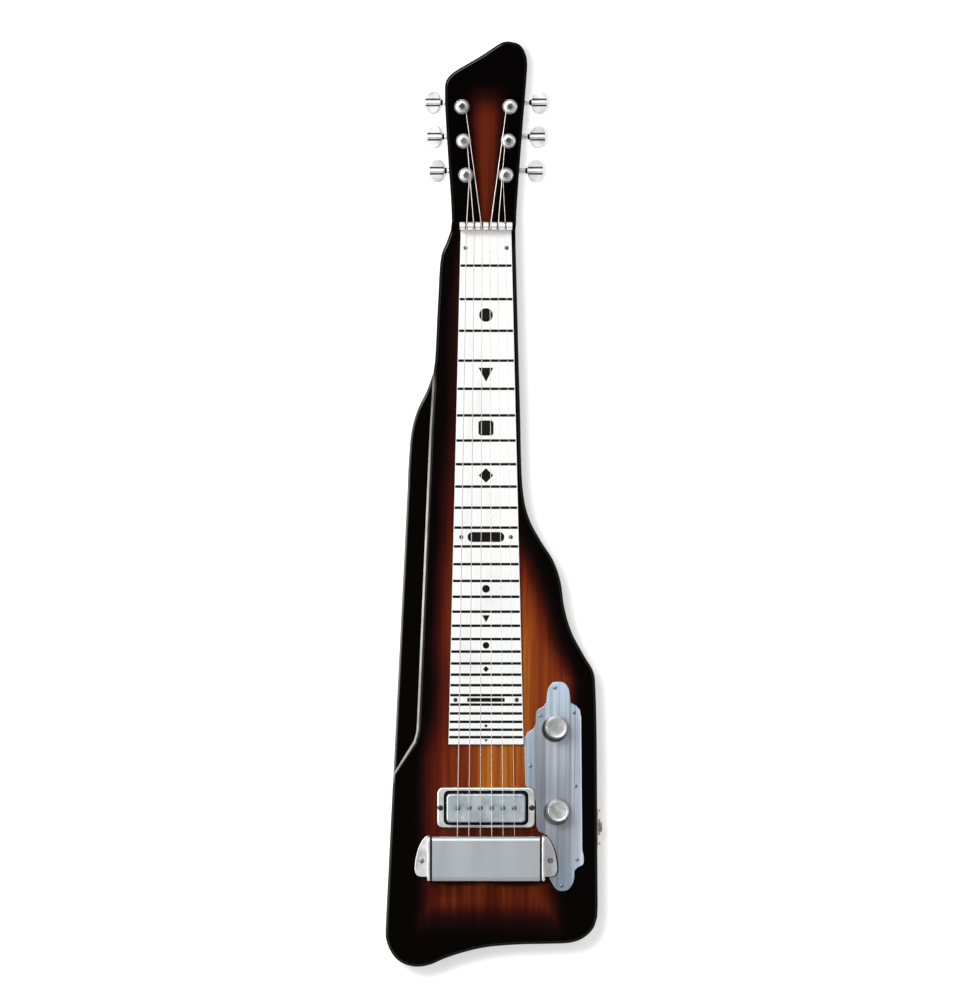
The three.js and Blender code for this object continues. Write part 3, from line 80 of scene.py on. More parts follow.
def on_plate(pair):
    """A place on the control plate, from shares of its width and length from its lower left corner."""
    return (PLATE_LEFT + pair[0] * PLATE_WIDTH, PLATE_BOTTOM + pair[1] * PLATE_LENGTH)


# Outlines
def smooth(points, steps=CURVE_STEPS):
    """A centripetal curve through the points, as a list of places."""
    first = [2 * a - b for a, b in zip(points[0], points[1])]
    last = [2 * a - b for a, b in zip(points[-1], points[-2])]
    places = [first, *points, last]
    result = [tuple(points[0])]
    for index in range(1, len(places) - 2):
        p0, p1, p2, p3 = places[index - 1:index + 3]
        before, here, after = [dist(a, b) ** 0.5 for a, b in ((p0, p1), (p1, p2), (p2, p3))]
        for step in range(1, steps + 1):
            t = step / steps
            place = []
            for a, b, c, d in zip(p0, p1, p2, p3):
                start = ((b - a) / before - (c - a) / (before + here) + (c - b) / here) * here
                end = ((c - b) / here - (d - b) / (here + after) + (d - c) / after) * here
                place.append(
                    (2 * t ** 3 - 3 * t ** 2 + 1) * b + (t ** 3 - 2 * t ** 2 + t) * start
                    + (3 * t ** 2 - 2 * t ** 3) * c + (t ** 3 - t ** 2) * end)
            result.append(tuple(place))
    return result


def circle(x, y, radius, sides):
    turns = [index / sides * 2 * pi for index in range(sides)]
    return [(x + radius * cos(turn), y + radius * sin(turn)) for turn in turns]


def rounded(x, y, length, width, radius, steps=6):
    """A rectangle with rounded corners, about its centre."""
    places = []
    for corner, (across, along) in enumerate(((1, 1), (-1, 1), (-1, -1), (1, -1))):
        centre_x = x + across * (length / 2 - radius)
        centre_y = y + along * (width / 2 - radius)
        for step in range(steps + 1):
            turn = (corner + step / steps) * pi / 2
            places.append((centre_x + radius * cos(turn), centre_y + radius * sin(turn)))
    return places


def inset(outline, distance, shares=None):
    """An anticlockwise outline moved inwards, by a share of the distance at each point."""
    result = []
    for index, place in enumerate(outline):
        here = Vector(place)
        arriving = (here - Vector(outline[index - 1])).normalized()
        leaving = (Vector(outline[(index + 1) % len(outline)]) - here).normalized()
        first = Vector((-arriving.y, arriving.x))
        second = Vector((-leaving.y, leaving.x))
        share = shares[index] if shares else 1.0
        reach = distance * share / max(1 + first.dot(second), 0.3)
        result.append(tuple(here + (first + second) * reach))
    return result


def rounded_profile(corners, steps):
    """The corners, (radius, height) or (radius, height, rounding), with those rounded that say so."""
    result = []
    for index, (radius, height, *rounding) in enumerate(corners):
        if not rounding:
            result.append((radius, height))
            continue
        here = Vector((radius, height))
        before, after = Vector(corners[index - 1][:2]), Vector(corners[index + 1][:2])
        start = here + (before - here).normalized() * rounding[0]
        end = here + (after - here).normalized() * rounding[0]
        for step in range(steps + 1):
            t = step / steps
            result.append(tuple(start * (1 - t) ** 2 + here * 2 * t * (1 - t) + end * t ** 2))
    return result


# Meshes
def put(name, data):
    made = bpy.data.objects.new(name, data)
    bpy.context.scene.collection.objects.link(made)
    return made


def piece_of(places, faces, turn=Matrix()):
    mesh = bpy.data.meshes.new("part")
    mesh.from_pydata([turn @ Vector(place) * MM for place in places], [], faces)
    mesh.validate()
    return put("part", mesh)


def lofted(rings, turn=Matrix()):
    """A closed piece through rings of as many places each."""
    count = len(rings[0])
    top = (len(rings) - 1) * count
    faces = [tuple(reversed(range(count)))]
    for low in range(0, top, count):
        for index in range(count):
            here, after = low + index, low + (index + 1) % count
            faces.append((here, after, after + count, here + count))
    faces.append(tuple(range(top, top + count)))
    return piece_of([place for ring in rings for place in ring], faces, turn)


def stacked(levels, turn=Matrix()):
    """A closed piece through outlines, given with their heights."""
    return lofted([[(x, y, height) for x, y in outline] for outline, height in levels], turn)


def slab(outline, low, high, top=0.0, bottom=0.0, steps=5, shares=None):
    """A slab whose top and bottom edges are rounded to the given radii."""
    levels = []
    for radius, height, inwards in ((bottom, low, 1), (top, high, -1)):
        if radius == 0:
            levels.append((outline, height))
            continue
        for step in range(steps + 1)[::inwards]:
            angle = step / steps * pi / 2
            depth = radius * (1 - sin(angle))
            rise = radius * (1 - cos(angle))
            levels.append((inset(outline, depth, shares), height + inwards * rise))
    return stacked(levels)


def turned(corners, sides, turn=Matrix(), steps=4):
    """A solid of revolution about Z, through corners that start and end on the axis."""
    (_, floor), *inner, (_, ceiling) = rounded_profile(corners, steps)
    walls = [(x, y, height) for radius, height in inner for x, y in circle(0, 0, radius, sides)]
    places = [(0, 0, floor), *walls, (0, 0, ceiling)]
    last = 1 + (len(inner) - 1) * sides
    faces = []
    for index in range(sides):
        after = (index + 1) % sides
        faces.append((0, 1 + after, 1 + index))
        for low in range(1, last, sides):
            faces.append((low + index, low + after, low + sides + after, low + sides + index))
        faces.append((last + index, last + after, len(places) - 1))
    return piece_of(places, faces, turn)


def tube(path, radius, sides):
    """A round tube through a list of places, closed at both ends."""
    path = [Vector(place) for place in path]
    side = Vector((0, 0, 1)).cross(path[1] - path[0])
    rings = []
    for index, here in enumerate(path):
        forward = (path[min(index + 1, len(path) - 1)] - path[max(index - 1, 0)]).normalized()
        side = (side - forward * side.dot(forward)).normalized()
        over = forward.cross(side)
        rings.append([here + side * x + over * y for x, y in circle(0, 0, radius, sides)])
    return lofted(rings)


def run_along_x(profile, low, high):
    """A profile drawn in Y and Z, run along X."""
    return stacked([(profile, low), (profile, high)], ON_EDGE)


def moved(piece, x, y, z=0.0, turn=Matrix()):
    """Turns a piece about the origin, then moves it."""
    piece.data.transform(Matrix.Translation((x * MM, y * MM, z * MM)) @ turn)
    return piece


def spun(piece, angle):
    return moved(piece, 0, 0, 0, Matrix.Rotation(angle, 4, "Z"))


def settle(piece):
    """Replaces a piece's mesh by what its modifiers make of it."""
    graph = bpy.context.evaluated_depsgraph_get()
    made = bpy.data.meshes.new_from_object(piece.evaluated_get(graph))
    piece.modifiers.clear()
    piece.data = made
    return piece


def combine(operation, piece, others):
    """Joins, cuts or intersects a piece with others, which are used up."""
    for other in others:
        change = piece.modifiers.new("combine", "BOOLEAN")
        change.object = other
        change.operation = operation
        change.solver = "EXACT"
    settle(piece)
    for other in others:
        bpy.data.objects.remove(other)
    return piece


def cut(piece, *others):
    return combine("DIFFERENCE", piece, others)


def united(piece, *others):
    return combine("UNION", piece, others)


def bevelled(piece, width, segments, angle):
    """Breaks the edges that turn by more than the angle, in degrees."""
    change = piece.modifiers.new("bevel", "BEVEL")
    change.width = width * MM
    change.segments = segments
    change.angle_limit = radians(angle)
    return settle(piece)


def coated(piece, finish):
    piece.data.materials.clear()
    piece.data.materials.append(FINISHES[finish])
    return piece


def gathered(*pieces):
    """One piece made of several coated ones that only touch or stand in each other."""
    work = bmesh.new()
    materials = []
    for piece in pieces:
        start = len(work.faces)
        work.from_mesh(piece.data)
        work.faces.ensure_lookup_table()
        material = piece.data.materials[0]
        if material not in materials:
            materials.append(material)
        for face in work.faces[start:]:
            face.material_index = materials.index(material)
        bpy.data.objects.remove(piece)
    mesh = bpy.data.meshes.new("part")
    work.to_mesh(mesh)
    work.free()
    for material in materials:
        mesh.materials.append(material)
    return put("part", mesh)


SHARP_ANGLE = radians(32)


def place_on(piece, name, slot, *nodes, body="guitar"):
    """Finishes a piece: named, smooth, riding on a body, and standing for CAD nodes; its slot is not used."""
    piece.name = piece.data.name = name
    for face in piece.data.polygons:
        face.use_smooth = True
    piece.data.set_sharp_from_angle(angle=SHARP_ANGLE)
    change = piece.modifiers.new("weighted", "WEIGHTED_NORMAL")
    change.keep_sharp = True
    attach(piece, body)
    if nodes:
        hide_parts(*nodes)


# Materials
def shade(*levels):
    """A colour of the screen, in 255ths, as the shader takes it."""
    parts = [level / 255 for level in levels]
    return (*(part / 12.92 if part <= 0.04045 else ((part + 0.055) / 1.055) ** 2.4 for part in parts), 1.0)


class Nodes:
    """The nodes of a material or of the world."""

    def __init__(self, owner):
        owner.use_nodes = True
        self.tree = owner.node_tree

    def node(self, kind, inputs=(), **settings):
        """A node with its settings; each input, by name or number, takes a value or another node's output."""
        made = self.tree.nodes.new(f"ShaderNode{kind}")
        for key, value in settings.items():
            setattr(made, key, value)
        for key, value in dict(inputs).items():
            self.feed(made.inputs[key], value)
        return made.outputs

    def feed(self, target, value):
        if isinstance(value, bpy.types.NodeSocket):
            self.tree.links.new(value, target)
        else:
            target.default_value = value

    def parts(self, vector):
        return self.node("SeparateXYZ", {0: vector})

    def math(self, operation, *values):
        return self.node("Math", enumerate(values), operation=operation)[0]

    def times(self, product, *others):
        for other in others:
            product = self.math("MULTIPLY", product, other)
        return product

    def range(self, source, low, high, to_low=0.0, to_high=1.0, kind="LINEAR"):
        inputs = {"Value": source, "From Min": low, "From Max": high, "To Min": to_low, "To Max": to_high}
        return self.node("MapRange", inputs, interpolation_type=kind)["Result"]

    def blend(self, factor, first, second):
        """A number between two others."""
        return self.node("Mix", {0: factor, 2: first, 3: second}, data_type="FLOAT")[0]

    def mix(self, factor, first, second, blend="MIX"):
        """A colour mixed from two others."""
        return self.node("Mix", {0: factor, 6: first, 7: second}, data_type="RGBA", blend_type=blend)[2]

    def seen(self):
        """One for what the camera sees, also in a mirror or through glass, and nought for light."""
        paths = self.node("LightPath")
        direct = self.math("MAXIMUM", paths["Is Camera Ray"], paths["Is Glossy Ray"])
        return self.math("MAXIMUM", direct, paths["Is Transmission Ray"])


class Finish(Nodes):
    """A material with one Principled shader and the textures that vary it."""

    def __init__(self, name, **values):
        self.material = bpy.data.materials.new(f"{name}_finish")
        super().__init__(self.material)
        self.shader = self.tree.nodes["Principled BSDF"].inputs
        self.place = self.node("TexCoord")["Object"]
        for key, value in values.items():
            self.shader[key.replace("_", " ")].default_value = value

    def noise(self, scale, detail=3.0, roughness=0.5, stretch=(1, 1, 1), distortion=0.0):
        place = self.node("Mapping", {"Vector": self.place, "Scale": stretch})[0]
        look = {"Scale": scale, "Detail": detail, "Roughness": roughness, "Distortion": distortion}
        return self.node("TexNoise", {"Vector": place, **look})["Fac"]

    def ramp(self, source, stops, interpolation="LINEAR"):
        """A number turned into a colour, where each stop has one number for a grey or three of the screen."""
        made = self.node("ValToRGB", {"Fac": source})["Color"]
        ramp = made.node.color_ramp
        ramp.interpolation = interpolation
        while len(ramp.elements) < len(stops):
            ramp.elements.new(1.0)
        for element, (position, value) in zip(ramp.elements, stops):
            element.position = position
            element.color = shade(*value) if isinstance(value, tuple) else (value, value, value, 1.0)
        return made

    def curve(self, source, table):
        """A place, in metres, turned into the value that a table gives there, by places in millimetres."""
        values = [value for place, value in table]
        low, high = table[0][0], table[-1][0]
        floor, top = min(values), max(values)
        stops = [((place - low) / (high - low), (value - floor) / (top - floor)) for place, value in table]
        share = self.range(source, low * MM, high * MM)
        return self.range(self.ramp(share, stops), 0.0, 1.0, floor, top)

    def made(self, colour, roughness, grain, strength, depth):
        """The material, with its colour, its roughness and a bumpy grain of a depth in millimetres."""
        bump = self.node("Bump", {"Height": grain, "Strength": strength, "Distance": depth * MM})[0]
        self.feed(self.shader["Base Color"], colour)
        self.feed(self.shader["Roughness"], roughness)
        self.feed(self.shader["Normal"], bump)
        return self.material


# The sunburst: how warm the colour is, by the distance in from each side and by the place along the guitar.
# Each table pairs a place in millimetres with another place, or with a warmth from 0 to 1.
BURST_LEFT = (
    (-94, -72), (-25, -68), (30, -70), (92, -68.5), (128, -60), (165, -56.5), (201, -57), (273, -51),
    (373, -45), (436, -42), (508, -41), (578, -30),
)
BURST_RIGHT = (
    (-94, 74), (-25, 74), (40, 90), (165, 92), (201, 76), (237, 65), (273, 52), (300, 40), (330, 32),
    (420, 29), (578, 26),
)
WARMTH_IN_LEFT = (
    (0, 0.0), (6, 0.06), (11, 0.24), (16, 0.41), (22, 0.51), (30, 0.57), (45, 0.63), (60, 0.84), (72, 1.0),
)
WARMTH_IN_RIGHT = (
    (0, 0.0), (8, 0.08), (15, 0.32), (21, 0.54), (27, 0.69), (33, 0.76), (41, 0.79), (51, 0.81), (62, 0.82),
    (68, 0.9), (75, 1.0),
)
# Along the guitar the warmth also carries painted shade: a painted shadow band along the hand rest's back
# edge, about -21 to -16 mm, and painted shade that keeps it low from the rest's front edge to the pickup,
# about 24 to 52 mm
WARMTH_AND_SHADE_ALONG = (
    (-80, 0.0), (-66, 0.04), (-52, 0.2), (-38, 0.52), (-25, 0.7), (-21, 0.64), (-19, 0.35), (-16, 0.15),
    (-8, 0.5), (30, 0.52), (52, 0.8), (70, 1.0), (100, 1.0), (180, 0.9), (250, 0.88), (300, 0.72),
    (372, 0.54), (508, 0.28), (570, 0.18),
)
WARMTH_BLEND = 0.12
BURST_COLOURS = (
    (0.0, (2, 1, 1)), (0.12, (15, 5, 5)), (0.28, (38, 11, 8)), (0.42, (64, 17, 9)), (0.55, (90, 31, 15)),
    (0.68, (112, 44, 18)), (0.8, (136, 62, 24)), (0.9, (155, 86, 30)), (1.0, (172, 106, 37)),
)
WEDGE_COLOURS = ((0.0, (3, 2, 2)), (0.35, (36, 11, 8)), (0.7, (70, 22, 11)), (1.0, (89, 31, 14)))
# Strength of the pale painted highlight on the ledge's own edge, and along the deck's edge beside the ledge
# by place
LEDGE_EDGE_HIGHLIGHT = 0.3
DECK_EDGE_HIGHLIGHT = (
    (70, 0.0), (80, 0.62), (120, 0.7), (183, 0.85), (260, 1.0), (328, 0.9), (380, 0.6), (432, 0.35),
    (444, 0.0), (460, 0.0),
)


def sunburst_finish():
    finish = Finish("sunburst", Specular_IOR_Level=0.0, Coat_Weight=1.0, Coat_Roughness=0.03)
    x, y, z = finish.parts(finish.place)
    left = finish.times(finish.curve(y, BURST_LEFT), MM)
    right = finish.times(finish.curve(y, BURST_RIGHT), MM)
    wander = finish.math("MULTIPLY_ADD", finish.noise(14.0, 2.0, 0.5, (1, 0.5, 1)), 0.016, -0.008)
    from_left = finish.math("ADD", finish.math("SUBTRACT", x, left), wander)
    from_right = finish.math("ADD", finish.math("SUBTRACT", right, x), wander)
    across = finish.times(finish.curve(from_left, WARMTH_IN_LEFT), finish.curve(from_right, WARMTH_IN_RIGHT))
    # The warmth along the guitar includes the painted shade beside the hand rest and between it and the
    # pickup
    along = finish.curve(finish.math("ADD", y, wander), WARMTH_AND_SHADE_ALONG)
    warmth = finish.math("SMOOTH_MIN", across, along, WARMTH_BLEND)

    broad = finish.noise(170.0, 3.0, 0.55, (1, 0.03, 1), 0.3)
    fine = finish.noise(620.0, 2.0, 0.6, (1, 0.02, 1))
    pores = finish.noise(1500.0, 2.0, 0.7, (1, 0.05, 1))
    streak = finish.range(broad, 0.3, 0.7, 0.8, 1.16)
    streaked = finish.times(warmth, streak, finish.range(fine, 0.3, 0.7, 0.93, 1.06))
    colour = finish.ramp(streaked, BURST_COLOURS, "B_SPLINE")
    colour = finish.mix(1.0, colour, finish.range(pores, 0.62, 0.78, 1.0, 0.72), "MULTIPLY")

    # The head: a warm wedge between the strings, on black
    half = finish.range(y, 0.5785, 0.69, 0.0062, 0.0175)
    off_middle = finish.math("ABSOLUTE", finish.math("SUBTRACT", x, 0.0005))
    inside = finish.range(finish.math("DIVIDE", off_middle, half), 1.25, 0.25, kind="SMOOTHSTEP")
    fade = finish.range(y, 0.708, 0.668, kind="SMOOTHSTEP")
    near_nut = finish.range(y, 0.56, 0.63, 0.72, 1.0)
    on_head = finish.math("GREATER_THAN", y, (NECK_END + 0.1) * MM)
    wedge = finish.ramp(finish.times(inside, fade, near_nut, streak), WEDGE_COLOURS)
    colour = finish.mix(on_head, colour, wedge)

    # The burst is only on the face; the sides and the back are black
    out, _, up = finish.parts(finish.node("NewGeometry")["Normal"])
    black = finish.mix(finish.range(broad, 0.4, 0.75), shade(4, 3, 3), shade(11, 7, 6))
    colour = finish.mix(finish.range(up, 0.55, 0.97), black, colour)

    # The deck's rounded edge beside the ledge gets a pale painted highlight, strongest half way along, and
    # the ledge's own edge a weaker one
    facing = finish.range(out, -0.2, -0.42)
    steep = finish.range(up, 0.96, 0.88)
    on_ledge = finish.times(finish.range(z, 0.0295, 0.0305), LEDGE_EDGE_HIGHLIGHT)
    high = finish.math("MAXIMUM", finish.math("GREATER_THAN", z, 0.0405), on_ledge)
    patchy = finish.range(finish.noise(60.0, 3.0, 0.6), 0.3, 0.6, 0.7, 1.0)
    painted_highlight = finish.times(facing, steep, high, patchy, finish.curve(y, DECK_EDGE_HIGHLIGHT))
    colour = finish.mix(painted_highlight, colour, shade(196, 190, 186))

    # The lacquer shines less on rounded edges, and on the head
    rounding = finish.times(finish.range(up, 0.08, 0.3), finish.range(up, 0.995, 0.93))
    gloss = finish.range(rounding, 0.0, 1.0, 1.0, 0.35)
    finish.feed(finish.shader["Coat Weight"], finish.times(gloss, finish.range(on_head, 0.0, 1.0, 1.0, 0.5)))
    smear = finish.range(finish.noise(35.0, 4.0, 0.6), 0.35, 0.7, 0.24, 0.38)
    return finish.made(colour, smear, finish.noise(420.0, 2.0), 0.05, 0.2)


def board_finish():
    finish = Finish("board", Specular_IOR_Level=0.35)
    smudge = finish.noise(45.0, 4.0, 0.6, (1, 0.4, 1))
    speck = finish.range(finish.noise(900.0, 2.0, 0.6), 0.66, 0.8, 0.0, 0.2)
    colour = finish.mix(finish.range(smudge, 0.35, 0.7), shade(240, 240, 239), shade(228, 229, 230))
    colour = finish.mix(speck, colour, shade(205, 203, 198))
    smear = finish.range(smudge, 0.3, 0.7, 0.3, 0.48)
    return finish.made(colour, smear, finish.noise(1200.0, 2.0), 0.04, 0.1)


def plain_finish(name, dark, light, low, high, metallic, scale, grain, bump, stretch=(1, 1, 1), specular=0.5):
    """A finish whose colour and roughness wander between two values, with a fine bumpy grain."""
    finish = Finish(name, Metallic=metallic, Specular_IOR_Level=specular)
    patch = finish.noise(scale, 4.0, 0.6, stretch)
    fine = finish.noise(grain, 2.0, 0.6, stretch)
    blend = finish.range(finish.math("MULTIPLY_ADD", fine, 0.5, patch), 0.5, 1.0)
    colour = finish.mix(blend, shade(*dark), shade(*light))
    return finish.made(colour, finish.range(patch, 0.3, 0.7, low, high), fine, bump, 0.1)


# The control plate's painted light and shade and its painted bluish sheen, by places in millimetres, and a
# painted shadow beside each knob
PLATE_SHADE_ALONG = (
    (-26, 0.86), (-11, 0.87), (11, 0.87), (60, 0.93), (88, 0.97), (112, 0.97), (136, 1.04), (154, 1.1),
    (164, 1.16),
)
PLATE_SHADE_ACROSS = (
    (34, 1.12), (38, 1.04), (44, 0.8), (52, 0.92), (61, 1.0), (70, 0.97), (77, 1.05), (80, 1.28), (84, 1.36),
    (89, 1.25),
)
PLATE_SHEEN_ALONG = ((-26, 1.0), (-8, 0.8), (8, 0.0), (125, 0.0), (145, 0.7), (164, 1.0))
PLATE_SHEEN_ACROSS = ((34, 1.0), (41, 0.8), (45, 0.0), (89, 0.0))
WHITE = (1.0, 1.0, 1.0, 1.0)
PLATE_SHEEN_TINT = (0.84, 1.0, 1.06, 1.0)
# How dark the painted shadow round each knob is, how far it is shifted to the lower left, its radius and its
# blur
KNOB_SHADOW_LEVELS = {"volume": 0.12, "tone": 0.4}
KNOB_SHADOW_SHIFT = 1.7
KNOB_SHADOW_RADIUS = 11.6
KNOB_SHADOW_BLUR = 0.7


def plate_finish():
    """Metal brushed along Y, with painted light and shade, a painted bluish sheen near its ends and left
    edge, and a painted shadow beside each knob.
    """
    finish = Finish("plate", Metallic=1.0)
    x, y, _ = finish.parts(finish.place)
    wide = finish.noise(130.0, 3.0, 0.6, (1, 0.012, 1))
    hair = finish.noise(900.0, 3.0, 0.7, (1, 0.006, 1))
    patch = finish.noise(18.0, 3.0, 0.5, (1, 0.6, 1))
    streak = finish.math("MULTIPLY_ADD", hair, 0.5, finish.times(wide, 0.9))
    level = finish.range(finish.math("MULTIPLY_ADD", patch, 0.5, streak), 0.7, 1.2)
    colour = finish.mix(level, shade(134, 142, 155), shade(218, 222, 231))
    # Painted light and shade across the plate: lighter towards its top, at its left edge and at its right
    # rim, darker lower down
    painted_shading = finish.times(finish.curve(y, PLATE_SHADE_ALONG), finish.curve(x, PLATE_SHADE_ACROSS))
    painted_shading = finish.times(painted_shading, painted_shading)
    # A painted shadow: a dark disc round each knob, shifted to the lower left so that a crescent shows beside
    # it
    for name, left in KNOB_SHADOW_LEVELS.items():
        squares = []
        for here, there in zip((x, y), on_plate(KNOB_SHARES[name])):
            away = finish.math("SUBTRACT", here, (there - KNOB_SHADOW_SHIFT) * MM)
            squares.append(finish.times(away, away))
        reach = finish.math("SQRT", finish.math("ADD", *squares))
        low, high = (KNOB_SHADOW_RADIUS - KNOB_SHADOW_BLUR) * MM, (KNOB_SHADOW_RADIUS + KNOB_SHADOW_BLUR) * MM
        painted_shading = finish.times(painted_shading, finish.range(reach, low, high, left, 1.0, "SMOOTHSTEP"))
    # A painted bluish sheen near the plate's ends and along its left edge
    blue_sheen = finish.math("MAXIMUM", finish.curve(y, PLATE_SHEEN_ALONG), finish.curve(x, PLATE_SHEEN_ACROSS))
    colour = finish.mix(1.0, colour, finish.mix(blue_sheen, WHITE, PLATE_SHEEN_TINT), "MULTIPLY")
    colour = finish.mix(1.0, colour, painted_shading, "MULTIPLY")
    return finish.made(colour, finish.range(streak, 0.45, 0.95, 0.36, 0.52), hair, 0.08, 0.2)


WRAP_PITCH = 0.0007


def wound_finish():
    """A string wrapped in fine wire: bands along the string."""
    finish = Finish("wound", Metallic=1.0)
    inputs = {"Vector": finish.place, "Scale": 0.314 / WRAP_PITCH}
    bands = finish.node("TexWave", inputs, wave_type="BANDS", bands_direction="Y", wave_profile="SIN")["Fac"]
    colour = finish.mix(bands, shade(136, 128, 123), shade(233, 226, 219))
    return finish.made(colour, finish.range(finish.noise(200.0), 0.3, 0.7, 0.3, 0.42), bands, 0.4, 0.06)


# Dark and light colour, roughness from and to, metallic, scales of the patches and of the grain, and bump,
# then the stretch of both textures and the specular level where they aren't the usual ones
PLAIN_FINISHES = {
    "inlay": ((8, 8, 8), (24, 24, 24), 0.38, 0.55, 0, 60, 900, 0.06, (1, 1, 1), 0.08),
    "chrome": ((205, 207, 209), (240, 241, 241), 0.12, 0.24, 1, 90, 700, 0.03),
    "satin": ((228, 229, 229), (247, 247, 246), 0.3, 0.42, 1, 90, 700, 0.04),
    "rest": ((181, 187, 191), (187, 192, 195), 0.4, 0.46, 1, 30, 500, 0.02, (1, 0.2, 1)),
    "cover": ((170, 184, 191), (197, 206, 210), 0.36, 0.48, 1, 70, 420, 0.05),
    "knob": ((178, 178, 180), (214, 215, 215), 0.3, 0.45, 1, 160, 800, 0.06),
    "steel": ((200, 194, 188), (232, 227, 222), 0.24, 0.36, 1, 300, 900, 0.04),
    "dark_metal": ((44, 42, 42), (92, 88, 86), 0.3, 0.5, 1, 400, 1500, 0.08),
    "pole": ((92, 84, 84), (142, 132, 129), 0.3, 0.45, 1, 400, 1500, 0.08),
    "washer": ((112, 114, 118), (160, 162, 165), 0.3, 0.45, 1, 400, 1500, 0.06),
    "screw": ((96, 102, 108), (166, 174, 180), 0.35, 0.5, 1, 400, 1500, 0.08),
    "black": ((6, 6, 7), (20, 20, 22), 0.4, 0.6, 0, 300, 1500, 0.1, (1, 1, 1), 0.12),
    "brass": ((150, 118, 58), (205, 172, 104), 0.28, 0.42, 1, 200, 900, 0.05),
    "jack": ((112, 112, 92), (172, 170, 148), 0.28, 0.42, 1, 200, 900, 0.05),
    "copper": ((110, 52, 26), (160, 84, 44), 0.3, 0.5, 0.6, 200, 2400, 0.3, (0.05, 1, 1)),
    "foam": ((40, 40, 42), (70, 70, 72), 0.85, 1, 0, 500, 1800, 0.5),
    "magnet": ((62, 62, 66), (98, 98, 102), 0.5, 0.7, 0.8, 300, 1500, 0.2),
    "wire": ((110, 24, 22), (168, 44, 36), 0.5, 0.7, 0, 900, 2400, 0.2),
    "can": ((170, 168, 160), (214, 212, 204), 0.26, 0.4, 1, 120, 900, 0.05),
}
FINISHES = {
    "sunburst": sunburst_finish(), "board": board_finish(), "plate": plate_finish(), "wound": wound_finish(),
    **{name: plain_finish(name, *row) for name, row in PLAIN_FINISHES.items()},
}

# The CAD solids whose shape is right, and their finishes
CARRIED = {
    "fretboard": "board", "fretboard_backing": "inlay", "pickup_base": "brass", "pickup_bobbin": "black",
    "pickup_coil": "copper", "pickup_magnet": "magnet", "pickup_pad": "foam", "wiring_harness": "wire",
    "volume_shaft": "brass", "tone_shaft": "brass", "volume_pot": "can", "tone_pot": "can",
    "bridge_plate": "can", "saddle": "chrome",
}

# The camera looks straight down, and frames 903.7 mm of height at the level of the deck
FRAME_HEIGHT = 0.9037
CAMERA_HEIGHT = 9.0
SENSOR = 36.0
CENTRE = (0.0009, 0.3277)


def add_camera():
    data = bpy.data.cameras.new("photo_camera")
    data.sensor_fit = "VERTICAL"
    data.sensor_height = SENSOR
    data.lens = SENSOR * CAMERA_HEIGHT / FRAME_HEIGHT
    data.clip_end = 40.0
    camera = put("photo_camera", data)
    camera.location = (*CENTRE, CAMERA_HEIGHT + DECK * MM)
    bpy.context.scene.camera = camera


FILL = 0.55
ZENITH_DARK = 0.03
SHADE_SIDE = 0.45


def add_world():
    """White all round, softer as a lamp, and greyer in mirrors towards the lower right and straight above."""
    world = bpy.data.worlds.new("studio")
    bpy.context.scene.world = world
    nodes = Nodes(world)
    x, y, z = nodes.parts(nodes.node("TexCoord")["Generated"])
    side = nodes.range(nodes.math("MULTIPLY_ADD", y, -0.5, x), -0.6, 0.8, 1.0, SHADE_SIDE, "SMOOTHSTEP")
    ceiling = nodes.range(z, 0.968, 0.994, side, ZENITH_DARK, "SMOOTHSTEP")
    mirrored_level = nodes.blend(nodes.node("LightPath")["Is Camera Ray"], ceiling, 1.0)
    background = nodes.tree.nodes["Background"].inputs
    nodes.feed(background["Strength"], nodes.blend(nodes.seen(), FILL, mirrored_level))
    nodes.feed(background["Color"], WHITE)


FLOOR_REACH = 12000.0
FLOOR_LEVEL = -0.1
FLOOR_GLOW = 0.42
FLOOR_COLOUR = (0.8, 0.8, 0.8, 1.0)


def add_floor():
    """A pale floor that looks white; from below it is clear, so that the object's back can be looked at."""
    signs = ((-1, -1), (1, -1), (1, 1), (-1, 1))
    floor = piece_of([(x * FLOOR_REACH, y * FLOOR_REACH, FLOOR_LEVEL) for x, y in signs], [(0, 1, 2, 3)])
    floor.name = "floor"
    material = bpy.data.materials.new("floor_paper")
    floor.data.materials.append(material)
    nodes = Nodes(material)
    glow = nodes.node("Emission", {"Strength": nodes.times(nodes.seen(), FLOOR_GLOW)})
    paper = nodes.node("BsdfDiffuse", {"Color": FLOOR_COLOUR})
    above = nodes.node("AddShader", {0: glow[0], 1: paper[0]})
    below = nodes.node("BsdfTransparent")
    behind = nodes.node("NewGeometry")["Backfacing"]
    surface = nodes.node("MixShader", {0: behind, 1: above[0], 2: below[0]})
    nodes.tree.nodes.remove(nodes.tree.nodes["Principled BSDF"])
    nodes.feed(nodes.tree.nodes["Material Output"].inputs["Surface"], surface[0])


# Name, place, aim, width, length and power of each lamp, and what it does with the floor, which has a
# steeper lamp of its own, because the photograph's shadow is narrow
LAMPS = (
    ("key", (-1.1, 1.7, 2.3), (0, 0.33, 0), 1.3, 1.3, 68, "EXCLUDE"),
    ("side", (-1.7, 0.1, 0.75), (-0.05, 0.3, 0.04), 0.5, 1.8, 9, "EXCLUDE"),
    ("overhead", (-0.5, 0.64, 2.3), (0, 0.33, 0), 0.7, 0.7, 52, "INCLUDE"),
)


def add_light(name, place, aim, width, length, power, floor_state):
    data = bpy.data.lights.new(name, "AREA")
    data.shape = "RECTANGLE"
    data.size = width
    data.size_y = length
    data.energy = power
    light = put(name, data)
    light.location = place
    light.rotation_euler = (Vector(aim) - Vector(place)).to_track_quat("-Z", "Y").to_euler()
    receivers = bpy.data.collections.new(f"{name}_receivers")
    receivers.objects.link(bpy.data.objects["floor"])
    light.light_linking.receiver_collection = receivers
    receivers.collection_objects[0].light_linking.link_state = floor_state


